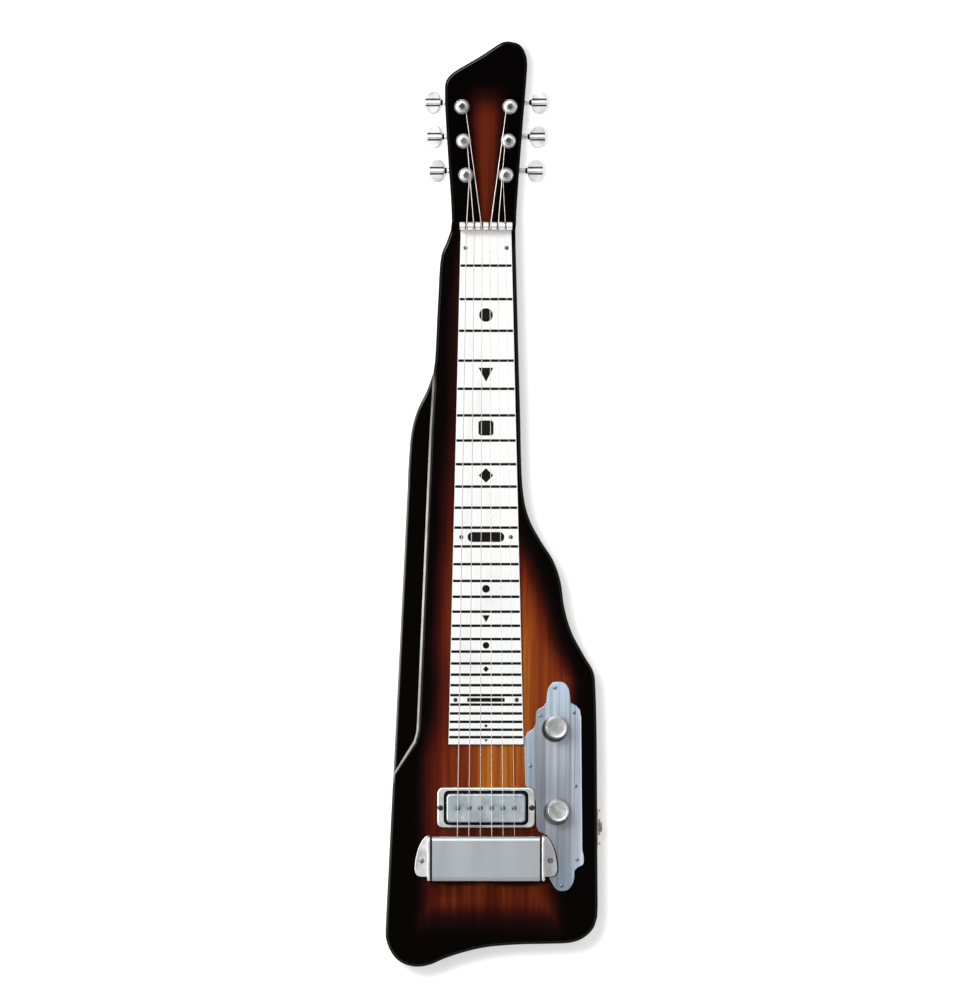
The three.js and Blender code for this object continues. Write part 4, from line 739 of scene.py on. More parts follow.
# Body outline: shares of the scale length, and of the way out from the fretboard's edge
TREBLE_SHARES = (
    (0.273, 0.97), (0.301, 0.944), (0.328, 0.818), (0.365, 0.659), (0.403, 0.571), (0.447, 0.52),
    (0.478, 0.433), (0.51, 0.275), (0.542, 0.146), (0.581, 0.075), (0.731, 0.056), (1.0, 0.048),
)
NECK_BASS_SHARES = (
    (1.0, 0.133), (0.981, 0.187), (0.961, 0.251), (0.89, 0.286), (0.795, 0.315), (0.776, 0.333),
)
LEDGE_EDGE_SHARES = (
    (0.776, 0.333), (0.747, 0.421), (0.716, 0.55), (0.684, 0.629), (0.637, 0.667), (0.589, 0.683),
)
LEDGE_END_SHARES = ((0.14, 0.875),)
DECK_EDGE_SHARES = ((0.776, 0.333), (0.755, 0.344), (0.684, 0.374))
DECK_TURN_SHARES = ((0.222, 0.504), (0.207, 0.514), (0.192, 0.554))
# The tail, in shares of the side's reach and the tail's length, and the head, of its width and length
BASS_FOOT_SHARES = ((-1.0, 0.648),)
TREBLE_FOOT_SHARES = ((1.0, 0.406),)
TAIL_SHARES = (
    (-0.998, 0.722), (-0.964, 0.823), (-0.895, 0.921), (-0.805, 0.977), (-0.686, 1.0), (-0.557, 0.98),
    (-0.417, 0.923), (-0.258, 0.871), (-0.02, 0.816), (0.268, 0.788), (0.554, 0.78), (0.751, 0.77),
    (0.84, 0.742), (0.912, 0.691), (0.965, 0.622), (0.996, 0.521),
)
HEAD_SHARES = (
    (0.366, 0), (0.37, 0.055), (0.404, 0.286), (0.448, 0.551), (0.489, 0.782), (0.501, 0.881),
    (0.487, 0.922), (0.453, 0.958), (0.4, 0.985), (0.327, 0.996), (0.242, 1.0), (0.182, 0.992),
    (0.121, 0.975), (-0.048, 0.924), (-0.242, 0.872), (-0.387, 0.832), (-0.46, 0.801), (-0.492, 0.771),
    (-0.499, 0.727), (-0.494, 0.617), (-0.459, 0.352), (-0.421, 0.088), (-0.416, 0),
)
PICKUP_Y = 49.6
JACK_Y = 31.43
JACK_Z = 22.0
JACK_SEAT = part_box("jack_plate")[0].x / MM
JACK_FACE = (38, 24, 5)
JACK_SPARE = 0.3
JACK_HOLE = 10.1
JACK_HOLE_END = 66
POST_HOLE = 5.1
# Centre, length, width and corners of the rooms under the pickup and the controls, and their floors' heights
PICKUP_ROOM, PICKUP_FLOOR = (0, PICKUP_Y, 80, 33, 4.5), 24
CONTROL_ROOM, CONTROL_FLOOR = (64.47, 76.4, 22, 110.7, 6), 10


def fret_place(number):
    return SCALE_LENGTH / 2 ** (number / 12)


def board_half(y):
    taper = (BOARD_END_HALF - BOARD_NUT_HALF) / (SCALE_LENGTH - fret_place(LAST_FRET))
    return BOARD_NUT_HALF + taper * (SCALE_LENGTH - y)


def at_side(shares, reach):
    """Places on the treble side, or on the bass side for a reach below nought."""
    sign = copysign(1, reach)
    places = []
    for along, out in shares:
        board = board_half(along * SCALE_LENGTH)
        places.append((sign * (board + out * (abs(reach) - board)), along * SCALE_LENGTH))
    return places


def at_tail(shares):
    """Places along the tail, with shares across that are below nought on the bass side."""
    places = []
    for across, along in shares:
        reach = TREBLE_REACH if across > 0 else BASS_REACH
        places.append((across * reach, -along * TAIL_LENGTH))
    return places


def post_places():
    """Where the solids have the posts, by number."""
    places = {}
    for number in range(1, 7):
        low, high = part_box(f"tuner_post_{number}")
        places[number] = ((low.x + high.x) / 2 / MM, (low.y + high.y) / 2 / MM)
    return places


POSTS = post_places()


def wooden(outline, low, high, shares=None):
    return slab(outline, low, high, EDGE_ROUND, EDGE_ROUND, 6, shares)


def add_body():
    treble = smooth(at_tail(TREBLE_FOOT_SHARES) + at_side(TREBLE_SHARES, TREBLE_REACH))
    head = smooth([(across * HEAD_WIDTH, NECK_END + along * HEAD_LENGTH) for across, along in HEAD_SHARES])
    neck_bass, deck_edge, deck_turn, ledge_edge, ledge_end = [at_side(shares, -BASS_REACH) for shares in (
        NECK_BASS_SHARES, DECK_EDGE_SHARES, DECK_TURN_SHARES, LEDGE_EDGE_SHARES, LEDGE_END_SHARES)]

    # The deck: not rounded where the head joins it, and rounded more along the ledge
    before = [*treble, head[0], head[-1], *smooth(neck_bass)]
    lip = [*deck_edge[1:], *smooth(deck_turn), *ledge_end]
    after = [*at_tail(BASS_FOOT_SHARES), *smooth(at_tail(TAIL_SHARES))]
    shares = [1.0] * len(before) + [LEDGE_LIP_SHARE] * (len(lip) - 1) + [1.0] * (len(after) + 1)
    shares[len(treble) - 1:len(treble) + 3] = [0.0] * 4
    body = wooden([*before, *lip, *after], 0.0, DECK, shares)

    within = [(x + LEDGE_OVERLAP, y) for x, y in reversed([deck_edge[0], *lip])]
    root = NECK_END - HEAD_OVERLAP
    tenon = [(head[-1][0] + EDGE_ROUND, root), (head[0][0] - EDGE_ROUND, root)]
    head_shares = [0.0] + [1.0] * (len(head) - 2) + [0.0] * 3
    united(
        body, wooden([*smooth(ledge_edge), *ledge_end, *within], 0.0, LEDGE),
        wooden([*head, *tenon], HEAD_BACK, HEAD_FACE, head_shares))

    over = TREBLE_REACH + 1
    length, width, corner = JACK_FACE
    seat = rounded(JACK_Y, JACK_Z, length + 2 * JACK_SPARE, width + 2 * JACK_SPARE, corner + JACK_SPARE)
    cut(
        body, slab(rounded(*PICKUP_ROOM), PICKUP_FLOOR, DECK + 1),
        slab(rounded(*CONTROL_ROOM), CONTROL_FLOOR, DECK + 1), run_along_x(seat, JACK_SEAT, over),
        run_along_x(circle(JACK_Y, JACK_Z, JACK_HOLE, 32), JACK_HOLE_END, over),
        *(slab(circle(x, y, POST_HOLE, 24), HEAD_BACK - 1, HEAD_FACE + 1) for x, y in POSTS.values()))
    place_on(coated(body, "sunburst"), "body_wood", "sunburst", "body")


# Screws: a rounded head with a crossed recess, on a shank. The head's radius and height, and the length.
FINE_SCREW = (1.8, 0.8, 10)
SMALL_SCREW = (1.9, 0.9, 8.5)
JACK_SCREW = (2.1, 1.0, 10)
LARGE_SCREW = (2.6, 1.4, 13)


def add_screw(name, place, size, finish, angle, *nodes, turn=Matrix()):
    head, height, length = size
    piece = turned([
        (0, -length), (head * 0.2, -length), (head * 0.5, -length + head), (head * 0.5, 0), (head, 0),
        (head, height * 0.45, head * 0.25), (head * 0.72, height, head * 0.25), (0, height)], 24)
    bar = rounded(0, 0, head * 1.2, head * 0.24, head * 0.1, 2)
    for quarter in (0, pi / 2):
        cut(piece, spun(slab(bar, height * 0.35, height * 2), angle + quarter))
    place_on(coated(moved(piece, *place, turn), finish), name, "steel", *nodes)


def add_screws(name, places, size, finish, angle, change=0.0, stands_for=None, turn=Matrix()):
    """A numbered row of screws, each turned by a change from the one before."""
    for index, place in enumerate(places):
        nodes = [f"{stands_for}_{index + 1}"] if stands_for else []
        add_screw(f"{name}_{index + 1}", place, size, finish, angle + change * index, *nodes, turn=turn)


BOARD_SCREW_SHARES = ((1, 0.8), (12, 0.76), (24, 0.84))


def add_board_screws():
    for index, (fret, share) in enumerate(BOARD_SCREW_SHARES):
        y = (fret_place(fret - 1) + fret_place(fret)) / 2
        for side, sign in (("bass", -1), ("treble", 1)):
            place = (sign * share * board_half(y), y, BOARD_TOP)
            add_screw(f"board_screw_{side}_{index + 1}", place, SMALL_SCREW, "dark_metal", 0.4 * index + 0.2)


# Nut and strings
NUT_HALF = 23.6
NUT_TOP = 57.6
NUT_ROUND = 3.0
NUT_CROWN = 3.4
NUT_FULLNESS = 0.7
NUT_PITCH = 7.1
SLOT_SPARE = 0.25
SLOT_DROP = 3.6
SADDLE_PITCH = 10.45
THICKEST = 0.91
GAUGE_SHARES = (0.42, 0.51, 0.62, 0.73, 0.84, 1.0)
FIRST_WOUND = 4
ANCHOR_Z = 51.6
ANCHOR_FRONT = -7.0
BALL_Y = -10.7
BALL = ((0, -1.7), (1.3, -1.7), (1.7, -1.3), (1.15, -0.5), (1.15, 0.5), (1.7, 1.3), (1.3, 1.7), (0, 1.7))
POST_WAIST = 2.6
BUSHING_TOP = 39.4
COIL_TURNS = 2
COIL_GAP = 0.45
COIL_STEPS = 40
LEAD_IN = 2.4


def strings():
    """Each string's sizes and places, as the solids have them."""
    result = []
    for index, share in enumerate(GAUGE_SHARES):
        offset = 2.5 - index
        string = SimpleNamespace(number=index + 1, radius=THICKEST * share / 2, side=1 if offset > 0 else -1)
        string.saddle = offset * SADDLE_PITCH
        string.nut = Vector((offset * NUT_PITCH, SCALE_LENGTH))
        string.nut_z = NUT_FLOOR + string.radius
        string.post = Vector(POSTS[string.number])
        string.coil = POST_WAIST + string.radius + 0.15
        string.coil_z = BUSHING_TOP + 0.3 + THICKEST / 2
        away = string.post - string.nut
        swing = asin(string.coil / away.length) * string.side
        string.direction = Matrix.Rotation(swing, 2) @ away.normalized()
        touch = string.nut + string.direction * sqrt(away.length_squared - string.coil ** 2)
        string.end = (*(touch - string.direction * LEAD_IN), string.coil_z)
        string.start = atan2(touch.y - string.post.y, touch.x - string.post.x)
        result.append(string)
    return result


STRINGS = strings()


def add_nut():
    profile = [(SCALE_LENGTH, DECK), (NECK_END, DECK), (NECK_END, NUT_TOP - NUT_ROUND)]
    for step in range(7):
        turn = step / 6 * pi * 0.75
        y, drop = SCALE_LENGTH + NUT_CROWN * (1 + cos(turn)), NUT_ROUND * (1 - sin(turn) ** NUT_FULLNESS)
        profile.append((y, NUT_TOP - drop))
    profile += [(SCALE_LENGTH + 0.5, NUT_TOP - 0.35), (SCALE_LENGTH, NUT_TOP - 1.0)]
    bar = run_along_x(profile, -NUT_HALF, NUT_HALF)
    front, back, over = SCALE_LENGTH - 1, NECK_END + 1, NUT_TOP + 2
    slot = [(front, NUT_FLOOR), (SCALE_LENGTH, NUT_FLOOR), (back, NUT_FLOOR - SLOT_DROP)]
    slot += [(back, over), (front, over)]
    slots = []
    for string in STRINGS:
        drift = abs(string.direction.x / string.direction.y) * (NECK_END - SCALE_LENGTH)
        half = string.radius + SLOT_SPARE + drift
        slots.append(run_along_x(slot, string.nut.x - half, string.nut.x + half))
    bevelled(cut(bar, *slots), 0.25, 2, 50)

    # The slots' insides get a dark finish: painted shade in the recesses
    coated(bar, "satin")
    bar.data.materials.append(FINISHES["dark_metal"])
    for face in bar.data.polygons:
        x, y, z = face.center / MM
        reach = min(abs(x - string.nut.x) - string.radius for string in STRINGS)
        if reach < 1.0 and z < NUT_TOP - 0.4 and SCALE_LENGTH + 0.05 < y < NECK_END - 0.05:
            face.material_index = 1
    place_on(bar, "nut_bar", "chrome", "nut")


def add_strings():
    for string in STRINGS:
        number, radius, x = string.number, string.radius, string.saddle
        path = [(x, BALL_Y, ANCHOR_Z), (x, ANCHOR_FRONT, ANCHOR_Z)]
        for t in (0, 0.25, 0.5, 0.75, 1):
            path.append((x, -1.2 + 1.6 * t, SADDLE_TOP + radius - 0.7 * (1 - t) ** 2))
        behind = string.nut + string.direction * 0.8
        path += [(*string.nut, string.nut_z), (*behind, string.nut_z - 0.2), string.end]
        wire = coated(tube(path, radius, 12), "wound" if number >= FIRST_WOUND else "steel")
        ball = coated(moved(turned(BALL, 20), x, BALL_Y, ANCHOR_Z, ALONG_X), "brass")
        place_on(gathered(wire, ball), f"strung_string_{number}", "steel", f"string_{number}")

        coil = [string.end]
        steps = COIL_TURNS * COIL_STEPS
        for step in range(steps + 1):
            angle = string.start - string.side * COIL_TURNS * 2 * pi * step / steps
            rise = COIL_TURNS * (2 * radius + COIL_GAP) * step / steps
            coil.append((
                string.post.x + string.coil * cos(angle), string.post.y + string.coil * sin(angle),
                string.coil_z + rise))
        winding = coated(tube(coil, radius, 10), "steel")
        place_on(winding, f"winding_{number}", "steel", f"string_winding_{number}", body=f"post_{number}")


# Tuning machines, drawn about the post's axis for the treble side, with the worm on the head's tip side
CENTRE_DISTANCE = 4.75
SHAFT_Z = 14.0
SHAFT_REACH = 19.4
CASING_BACK, CASING_FRONT = -5.9, 7.5
CASING_LOW, CASING_HIGH = -5.9, 8.6
CASING_FLOOR = 8.6
CASING_TAB, TAB_THICKNESS = (-6.9, 0, 6.2, 4.2, 1.9), 1.6
POST_ROOM = 4.3
WORM_ROOM = (0.8, 5.0, 10.2, 4.4, 0.5, 2)
ROOM_FLOOR = 10.2
COLLAR_END = 17.4
WHEEL_LOW, WHEEL_HIGH = 12.5, 15.5
WHEEL_TEETH = 14
WORM_RADIUS = 1.45
WORM_DEPTH = 0.25
WORM_TURNS = 3
WORM_STEPS = 36
WHEEL_RADIUS = 3.3
SPINDLE_RADIUS = 1.75
COLLAR = (
    (0, 5.9), (2.9, 5.9), (2.9, COLLAR_END - 1.2, 0.3), (2.6, COLLAR_END - 0.9), (2.6, COLLAR_END, 0.4),
    (0, COLLAR_END),
)
COLLAR_BORE = ((0, 4), (1.9, 4), (1.9, COLLAR_END + 2), (0, COLLAR_END + 2))
BUSHING_CONE = ((0, HEAD_FACE), (6.7, HEAD_FACE), (6.1, 37.6, 0.5), (4.9, BUSHING_TOP, 0.8), (0, BUSHING_TOP))
BUSHING_TUBE = ((0, 19.4), (5.0, 19.4), (5.0, 36.5), (0, 36.5))
BUSHING_BORE = (
    (0, 19), (3.1, 19), (3.1, BUSHING_TOP - 0.5), (3.9, BUSHING_TOP + 0.3), (0, BUSHING_TOP + 1),
)
WASHER_RADIUS, WASHER_HEIGHT, WASHER_HOLE = 6.8, 0.8, 4.4
HEXAGON_RADIUS = 6.4
CASING_SCREW_X = 8.0
POST = (
    (0, 10.5), (3.05, 10.5), (3.05, 15.5), (3.0, 15.5), (3.0, 39.55, 0.1), (POST_WAIST, 39.9, 0.1),
    (POST_WAIST, 47.0, 0.1), (3.0, 47.3, 0.15), (3.0, 49.5, 0.45), (0, 49.5),
)
POST_SLOT, POST_SLOT_FLOOR = (7.0, 0.9, 0.2), 47.6
WHEEL_TOOTH = ((0.0, 2.8), (0.3, 3.1), (0.5, 3.5), (0.7, 3.1))
PADDLE_SHARES = (
    (0, 0.26), (0.04, 0.44), (0.12, 0.7), (0.24, 0.89), (0.36, 0.98), (0.5, 1), (0.64, 0.98), (0.76, 0.89),
    (0.88, 0.7), (0.96, 0.44), (1, 0.26),
)
PADDLE_LENGTH = 14.5
PADDLE_HALF = 10.5
PADDLE_EDGE = ((1.8, 0.9), (1.74, 0.5), (1.54, 0.26), (1.26, 0.08), (0.9, 0.0))
RIB_RADIUS = 2.4
RIB_MARGIN = 0.6
RIB_SHADOW_OFFSET = 2.8
RIB_SHADOW_WIDTH = 1.7
RIB_SHADOW_TOP = 1.84


def casing():
    centre = ((CASING_BACK + CASING_FRONT) / 2, (CASING_LOW + CASING_HIGH) / 2)
    size = (CASING_FRONT - CASING_BACK, CASING_HIGH - CASING_LOW)
    shell = slab(rounded(*centre, *size, 2.2), CASING_FLOOR, HEAD_BACK, 0.0, 1.4)
    collar = turned(COLLAR, 28)
    tab = slab(rounded(*CASING_TAB), HEAD_BACK - TAB_THICKNESS, HEAD_BACK, 0.0, 0.4)
    united(shell, moved(collar, 0, CENTRE_DISTANCE, SHAFT_Z, ALONG_X), tab)
    return cut(
        shell, moved(turned(COLLAR_BORE, 24), 0, CENTRE_DISTANCE, SHAFT_Z, ALONG_X),
        slab(circle(0, 0, POST_ROOM, 28), ROOM_FLOOR, HEAD_BACK + 1),
        slab(rounded(*WORM_ROOM), ROOM_FLOOR, HEAD_BACK + 1))


def bushing():
    """The hexagon with its tube through the head, and the washer under it."""
    low, high = HEAD_FACE, HEAD_FACE + WASHER_HEIGHT
    washer = turned([(0, low), (WASHER_RADIUS, low), (WASHER_RADIUS, high, 0.35), (0, high)], 48)
    cut(washer, slab(circle(0, 0, WASHER_HOLE, 32), low - 1, high + 1))
    hexagon = slab(circle(0, 0, HEXAGON_RADIUS, 6), high, BUSHING_TOP)
    combine("INTERSECT", hexagon, [turned(BUSHING_CONE, 48, steps=6)])
    united(hexagon, turned(BUSHING_TUBE, 32))
    cut(hexagon, turned(BUSHING_BORE, 32))
    return [coated(hexagon, "satin"), coated(washer, "washer")]


def post(string):
    slot = slab(rounded(0, 0, *POST_SLOT, 2), POST_SLOT_FLOOR, 51)
    piece = cut(turned(POST, 32), spun(slot, string.start))
    teeth = []
    for tooth in range(WHEEL_TEETH):
        for phase, radius in WHEEL_TOOTH:
            angle = (tooth + phase) / WHEEL_TEETH * 2 * pi - pi / 2
            teeth.append((radius * cos(angle), radius * sin(angle)))
    wheel = slab(teeth, WHEEL_LOW, WHEEL_HIGH, 0.2, 0.2, 2)
    return gathered(coated(piece, "chrome"), coated(wheel, "brass"))


def button():
    """The button, drawn along X: shaft with its worm, ferrule, and an oval plate with a rib, with a dark
    strip along each side of the rib as painted shadow.
    """
    half_worm = WHEEL_RADIUS / WHEEL_TEETH * pi * WORM_TURNS
    levels = []
    for step in range(WORM_STEPS + 1):
        angle = step / WORM_STEPS * WORM_TURNS * 2 * pi - pi / 2
        outline = circle(WORM_DEPTH * cos(angle), WORM_DEPTH * sin(angle), WORM_RADIUS, 20)
        levels.append((outline, (step / WORM_STEPS * 2 - 1) * half_worm))
    for end in (half_worm + 0.3, SHAFT_REACH + 1.5):
        levels.append((circle(0, 0, SPINDLE_RADIUS, 20), end))
    spindle = coated(stacked(levels, ALONG_X), "dark_metal")
    low, high = COLLAR_END + 0.25, SHAFT_REACH - 0.1
    ferrule = coated(turned([(0, low), (2.5, low, 0.3), (2.7, high), (0, high)], 28, ALONG_X), "black")
    rib_end = SHAFT_REACH + PADDLE_LENGTH - RIB_MARGIN
    rib = coated(turned([
        (0, SHAFT_REACH - 0.3), (2.2, SHAFT_REACH - 0.3), (RIB_RADIUS, SHAFT_REACH + 0.6, 0.2),
        (RIB_RADIUS, rib_end, 0.5), (0, rib_end)], 32, ALONG_X), "satin")
    corners = [(SHAFT_REACH + share * PADDLE_LENGTH, half * PADDLE_HALF) for share, half in PADDLE_SHARES]
    edge = smooth(corners, 4)
    outline = [(x, -y) for x, y in edge] + edge[::-1]
    faces = [(-height, depth) for height, depth in PADDLE_EDGE] + list(PADDLE_EDGE[::-1])
    paddle = coated(stacked([(inset(outline, depth), height) for height, depth in faces]), "satin")
    pieces = [spindle, ferrule, rib, paddle]
    middle, length = SHAFT_REACH + PADDLE_LENGTH / 2, PADDLE_LENGTH - 2 * RIB_MARGIN
    # A dark strip along each side of the rib: painted shadow
    for sign in (-1, 1):
        shape = rounded(middle, sign * RIB_SHADOW_OFFSET, length, RIB_SHADOW_WIDTH, RIB_SHADOW_WIDTH * 0.45)
        pieces.append(coated(slab(shape, -RIB_SHADOW_TOP, RIB_SHADOW_TOP), "dark_metal"))
    return gathered(*pieces)


def add_tuners():
    for string in STRINGS:
        number, side = string.number, string.side
        x, y = string.post
        shell = coated(casing(), "chrome")
        if side < 0:
            shell.data.transform(Matrix.Scale(-1, 4, (1, 0, 0)))
            shell.data.flip_normals()
        whole = moved(gathered(shell, *bushing()), x, y)
        place_on(whole, f"tuner_casing_{number}", "chrome", f"tuner_housing_{number}")
        pin = moved(post(string), x, y)
        place_on(pin, f"post_and_wheel_{number}", "chrome", f"tuner_post_{number}", body=f"post_{number}")
        outwards = Matrix.Rotation(pi, 4, "X" if side > 0 else "Z")
        thumb = moved(button(), x, y + CENTRE_DISTANCE, SHAFT_Z, outwards)
        place_on(thumb, f"thumb_button_{number}", "chrome", f"tuner_button_{number}", body=f"button_{number}")
        place = (x - side * CASING_SCREW_X, y, HEAD_BACK - TAB_THICKNESS)
        add_screw(f"casing_screw_{number}", place, SMALL_SCREW, "can", 0.5, turn=UPSIDE_DOWN)


# Pickup: the length, width and corners of its ring, cover and flange, outside and inside
RING, RING_INSIDE = (88, 36.5, 5.2), (76.4, 31, 4.6)
COVER, COVER_INSIDE = (71.2, 26, 3.6), (70.2, 25, 3.1)
FLANGE, FLANGE_INSIDE = (79.4, 32.4, 4), (71, 26.2, 3.6)
FLANGE_LOW, FLANGE_TOP = 42.8, 43.8
RING_TOP = 46.4
RING_SPARE = 0.3
COVER_Y = PICKUP_Y - 0.3
COVER_LOW, COVER_TOP = 37.6, 53.0
COVER_WALL = 0.8
POLE_HOLE = 2.25
POLE = ((0, 35.4), (1.2, 35.4), (1.2, 51.95), (2.0, 51.95), (2.0, 53.7, 0.3), (0, 53.9))
POLE_SLOT, POLE_SLOT_FLOOR = (5, 0.7, 0.1), 53.25
KEEPER, KEEPER_LOW, KEEPER_TOP = (57.6, 3.4, 0.4), 37.65, 40.85
RING_SCREWS_X = (-41.3, 41.3)


def add_pickup():
    ring = slab(rounded(0, PICKUP_Y, *RING, 8), DECK, RING_TOP, 1.1)
    cut(ring, slab(rounded(0, PICKUP_Y, *RING_INSIDE, 8), DECK - 1, RING_TOP + 1))
    place_on(coated(bevelled(ring, 0.35, 3, 60), "satin"), "ring", "chrome", "pickup_ring")

    poles = [string.saddle + (string.nut.x - string.saddle) * PICKUP_Y / SCALE_LENGTH for string in STRINGS]
    cover = slab(rounded(0, COVER_Y, *COVER, 8), COVER_LOW, COVER_TOP, 1.4, 0.0, 6)
    cut(cover, slab(rounded(0, COVER_Y, *COVER_INSIDE, 8), COVER_LOW - 1, COVER_TOP - COVER_WALL))
    cut(cover, *(slab(circle(x, PICKUP_Y, POLE_HOLE, 28), COVER_TOP - 2, COVER_TOP + 1) for x in poles))
    flange = slab(rounded(0, PICKUP_Y, *FLANGE), FLANGE_LOW, FLANGE_TOP)
    cut(flange, slab(rounded(0, PICKUP_Y, *FLANGE_INSIDE), FLANGE_LOW - 1, FLANGE_TOP + 1))
    # The flange is black; seen in the gap round the cover, it also stands as painted shade there
    shell = gathered(coated(cover, "cover"), coated(flange, "black"))
    place_on(shell, "pickup_shell", "chrome", "pickup_cover")

    row = []
    for index, x in enumerate(poles):
        slot = slab(rounded(0, 0, *POLE_SLOT, 2), POLE_SLOT_FLOOR, 55)
        pole = cut(turned(POLE, 28), spun(slot, 0.9 * index + 0.4))
        row.append(coated(moved(pole, x, PICKUP_Y), "pole"))
    row.append(coated(slab(rounded(0, PICKUP_Y, *KEEPER, 2), KEEPER_LOW, KEEPER_TOP), "can"))
    place_on(gathered(*row), "pole_screw_row", "steel", "pole_screws")
    places = [(x, PICKUP_Y, RING_TOP) for x in RING_SCREWS_X]
    add_screws("pickup_screw", places, LARGE_SCREW, "dark_metal", 0.7, 1.0, "ring_screw")


BRIDGE_TOP = 46.0
BRIDGE_SCREWS_X = (-30.4, -14.8, 14.8, 30.4)
BRIDGE_SCREW_Y = 14.0


def add_bridge_screws():
    places = [(x, BRIDGE_SCREW_Y, BRIDGE_TOP) for x in BRIDGE_SCREWS_X]
    add_screws("bridge_screw", places, LARGE_SCREW, "screw", 0.0, 0.7)


# Hand rest: a folded cover between two cheeks, each with an ear on the deck
REST_HALF = 53.15
REST_FRONT = 24.2
REST_BACK = -16.0
REST_TOP = 69.0
REST_WALL = 1.2
REST_LIP = 6.5
REST_ROUND = 4.0
REST_SHADE = 1.5
CHEEK_IN = 50.3
CHEEK_EDGE = ((0.9, 0.0), (0.3, 0.25), (0.0, 0.8))
FACE_HALF = 48.6
EAR_SHARES = (
    (0, 1), (0.3, 0.93), (0.62, 0.76), (0.86, 0.52), (0.98, 0.27), (0.97, 0.13), (0.8, 0.03), (0.5, 0),
    (0, 0),
)
EAR_REACH = 11.4
EAR_BACK = -12.6
EAR_THICKNESS = 1.4
EAR_SCREW_X, EAR_SCREW_Y = 58.15, 1.9


def rest_arcs(inwards):
    """The two rounded corners of the rest's section, over the back and the front, moved in by a distance."""
    radius = REST_ROUND - inwards
    places = []
    for centre, start in ((REST_BACK + REST_ROUND, pi), (REST_FRONT - REST_ROUND, pi / 2)):
        for step in range(9):
            turn = start - step / 8 * pi / 2
            places.append((centre + radius * cos(turn), REST_TOP - REST_ROUND + radius * sin(turn)))
    return places


def rest_skin(margin):
    """The folded cover's section, its outer side moved in by a margin."""
    low, lip = DECK + 0.3, REST_TOP - REST_LIP
    outer = [(REST_BACK + margin, low), *rest_arcs(margin), (REST_FRONT - margin, lip)]
    wall = margin + REST_WALL
    inner = [(REST_BACK + wall, low), *rest_arcs(wall), (REST_FRONT - wall, lip)]
    return [*inner, *reversed(outer)]


def ear_outline(sign, tucked, reach, longer):
    """An ear's outline, tucked in under the cheek, with its two ends moved out."""
    length = REST_FRONT - EAR_BACK
    corners = [(sign * (REST_HALF + out * reach), along * length + EAR_BACK) for out, along in EAR_SHARES]
    lobe = smooth(corners, 6)
    inside = sign * (REST_HALF - tucked)
    outline = [(inside, REST_FRONT + longer), *lobe, (inside, EAR_BACK - longer)]
    return outline[::-sign]


def add_hand_rest():
    pieces = [coated(run_along_x(rest_skin(0.0), -FACE_HALF, FACE_HALF), "rest")]
    cheek = [(REST_BACK, DECK), *rest_arcs(0.0), (REST_FRONT, DECK)][::-1]
    for sign in (-1, 1):
        low, high = sorted((sign * FACE_HALF, sign * CHEEK_IN))
        # A black strip between the face and each cheek: painted shade in the groove there
        pieces.append(coated(run_along_x(rest_skin(REST_SHADE), low - 0.2, high + 0.2), "black"))
        low, high = sorted((sign * CHEEK_IN, sign * REST_HALF))
        levels = [(inset(cheek, depth), low + along) for depth, along in CHEEK_EDGE]
        levels += [(inset(cheek, depth), high - along) for depth, along in reversed(CHEEK_EDGE)]
        pieces.append(coated(stacked(levels, ON_EDGE), "satin"))
        ear = slab(ear_outline(sign, 1.0, EAR_REACH, -0.1), DECK, DECK + EAR_THICKNESS, 0.5, 0.0, 4)
        pieces.append(coated(ear, "satin"))
    place_on(gathered(*pieces), "hand_rest_cover", "chrome", "hand_rest")
    places = [(x, EAR_SCREW_Y, DECK + EAR_THICKNESS) for x in (-EAR_SCREW_X, EAR_SCREW_X)]
    add_screws("ear_screw", places, LARGE_SCREW, "screw", 0.2, 1.0, "rest_screw")


# Control plate, in shares of its width and length from its lower left corner
PLATE_TONGUE_SHARES = (
    (0.775, 0.9), (0.767, 0.935), (0.74, 0.97), (0.673, 0.994), (0.573, 1.0), (0.473, 0.994), (0.406, 0.97),
    (0.379, 0.935), (0.37, 0.9),
)
PLATE_LEFT_SHARES = (
    (0.37, 0.9), (0.32, 0.883), (0.215, 0.863), (0.19, 0.835), (0.19, 0.805), (0.152, 0.778), (0.05, 0.756),
    (0, 0.73),
)
PLATE_INNER_SHARES = (
    (0, 0.73), (0.015, 0.506), (0.19, 0.43), (0.2, 0.31), (0.235, 0.286), (0.385, 0.266), (0.42, 0.06),
)
PLATE_LOBE_SHARES = (
    (0.42, 0.06), (0.47, 0.035), (0.54, 0.008), (0.63, 0), (0.74, 0.008), (0.81, 0.035), (0.84, 0.067),
    (0.846, 0.097), (0.91, 0.115), (0.985, 0.127), (1, 0.158), (0.975, 0.2),
)
PLATE_RIGHT_SHARES = ((0.975, 0.2), (0.955, 0.83), (0.935, 0.865), (0.875, 0.885), (0.775, 0.9))
PLATE_SCREW_SHARES = (
    (0.513, 0.972), (0.265, 0.838), (0.835, 0.853), (0.093, 0.597), (0.86, 0.501), (0.885, 0.151),
    (0.619, 0.026),
)
# Height, radius and flutes' depth, from the knob's foot to its rim, and then over its dished top
KNOB_LEVELS = (
    (46.5, 10.4, 0.0), (46.9, 10.8, 0.0), (47.6, 10.8, 0.0), (48.2, 10.55, 0.22), (56.6, 9.75, 0.22),
    (57.4, 9.7, 0.0), (58.4, 9.55, 0.0), (59.1, 9.1, 0.0), (59.4, 8.6, 0.0), (59.3, 8.0, 0.0),
    (58.95, 7.4, 0.0), (58.9, 4.0, 0.0), (58.95, 1.2, 0.0),
)
KNOB_SIDES = 120
KNOB_RECESS = ((0, 46), (8.0, 46), (8.0, 51.0), (3.0, 51.0), (3.0, 56.4), (0, 56.4))
PANEL_NUT, PANEL_NUT_HEIGHT = 6.6, 2.0
SHAFT_HOLE = 3.7


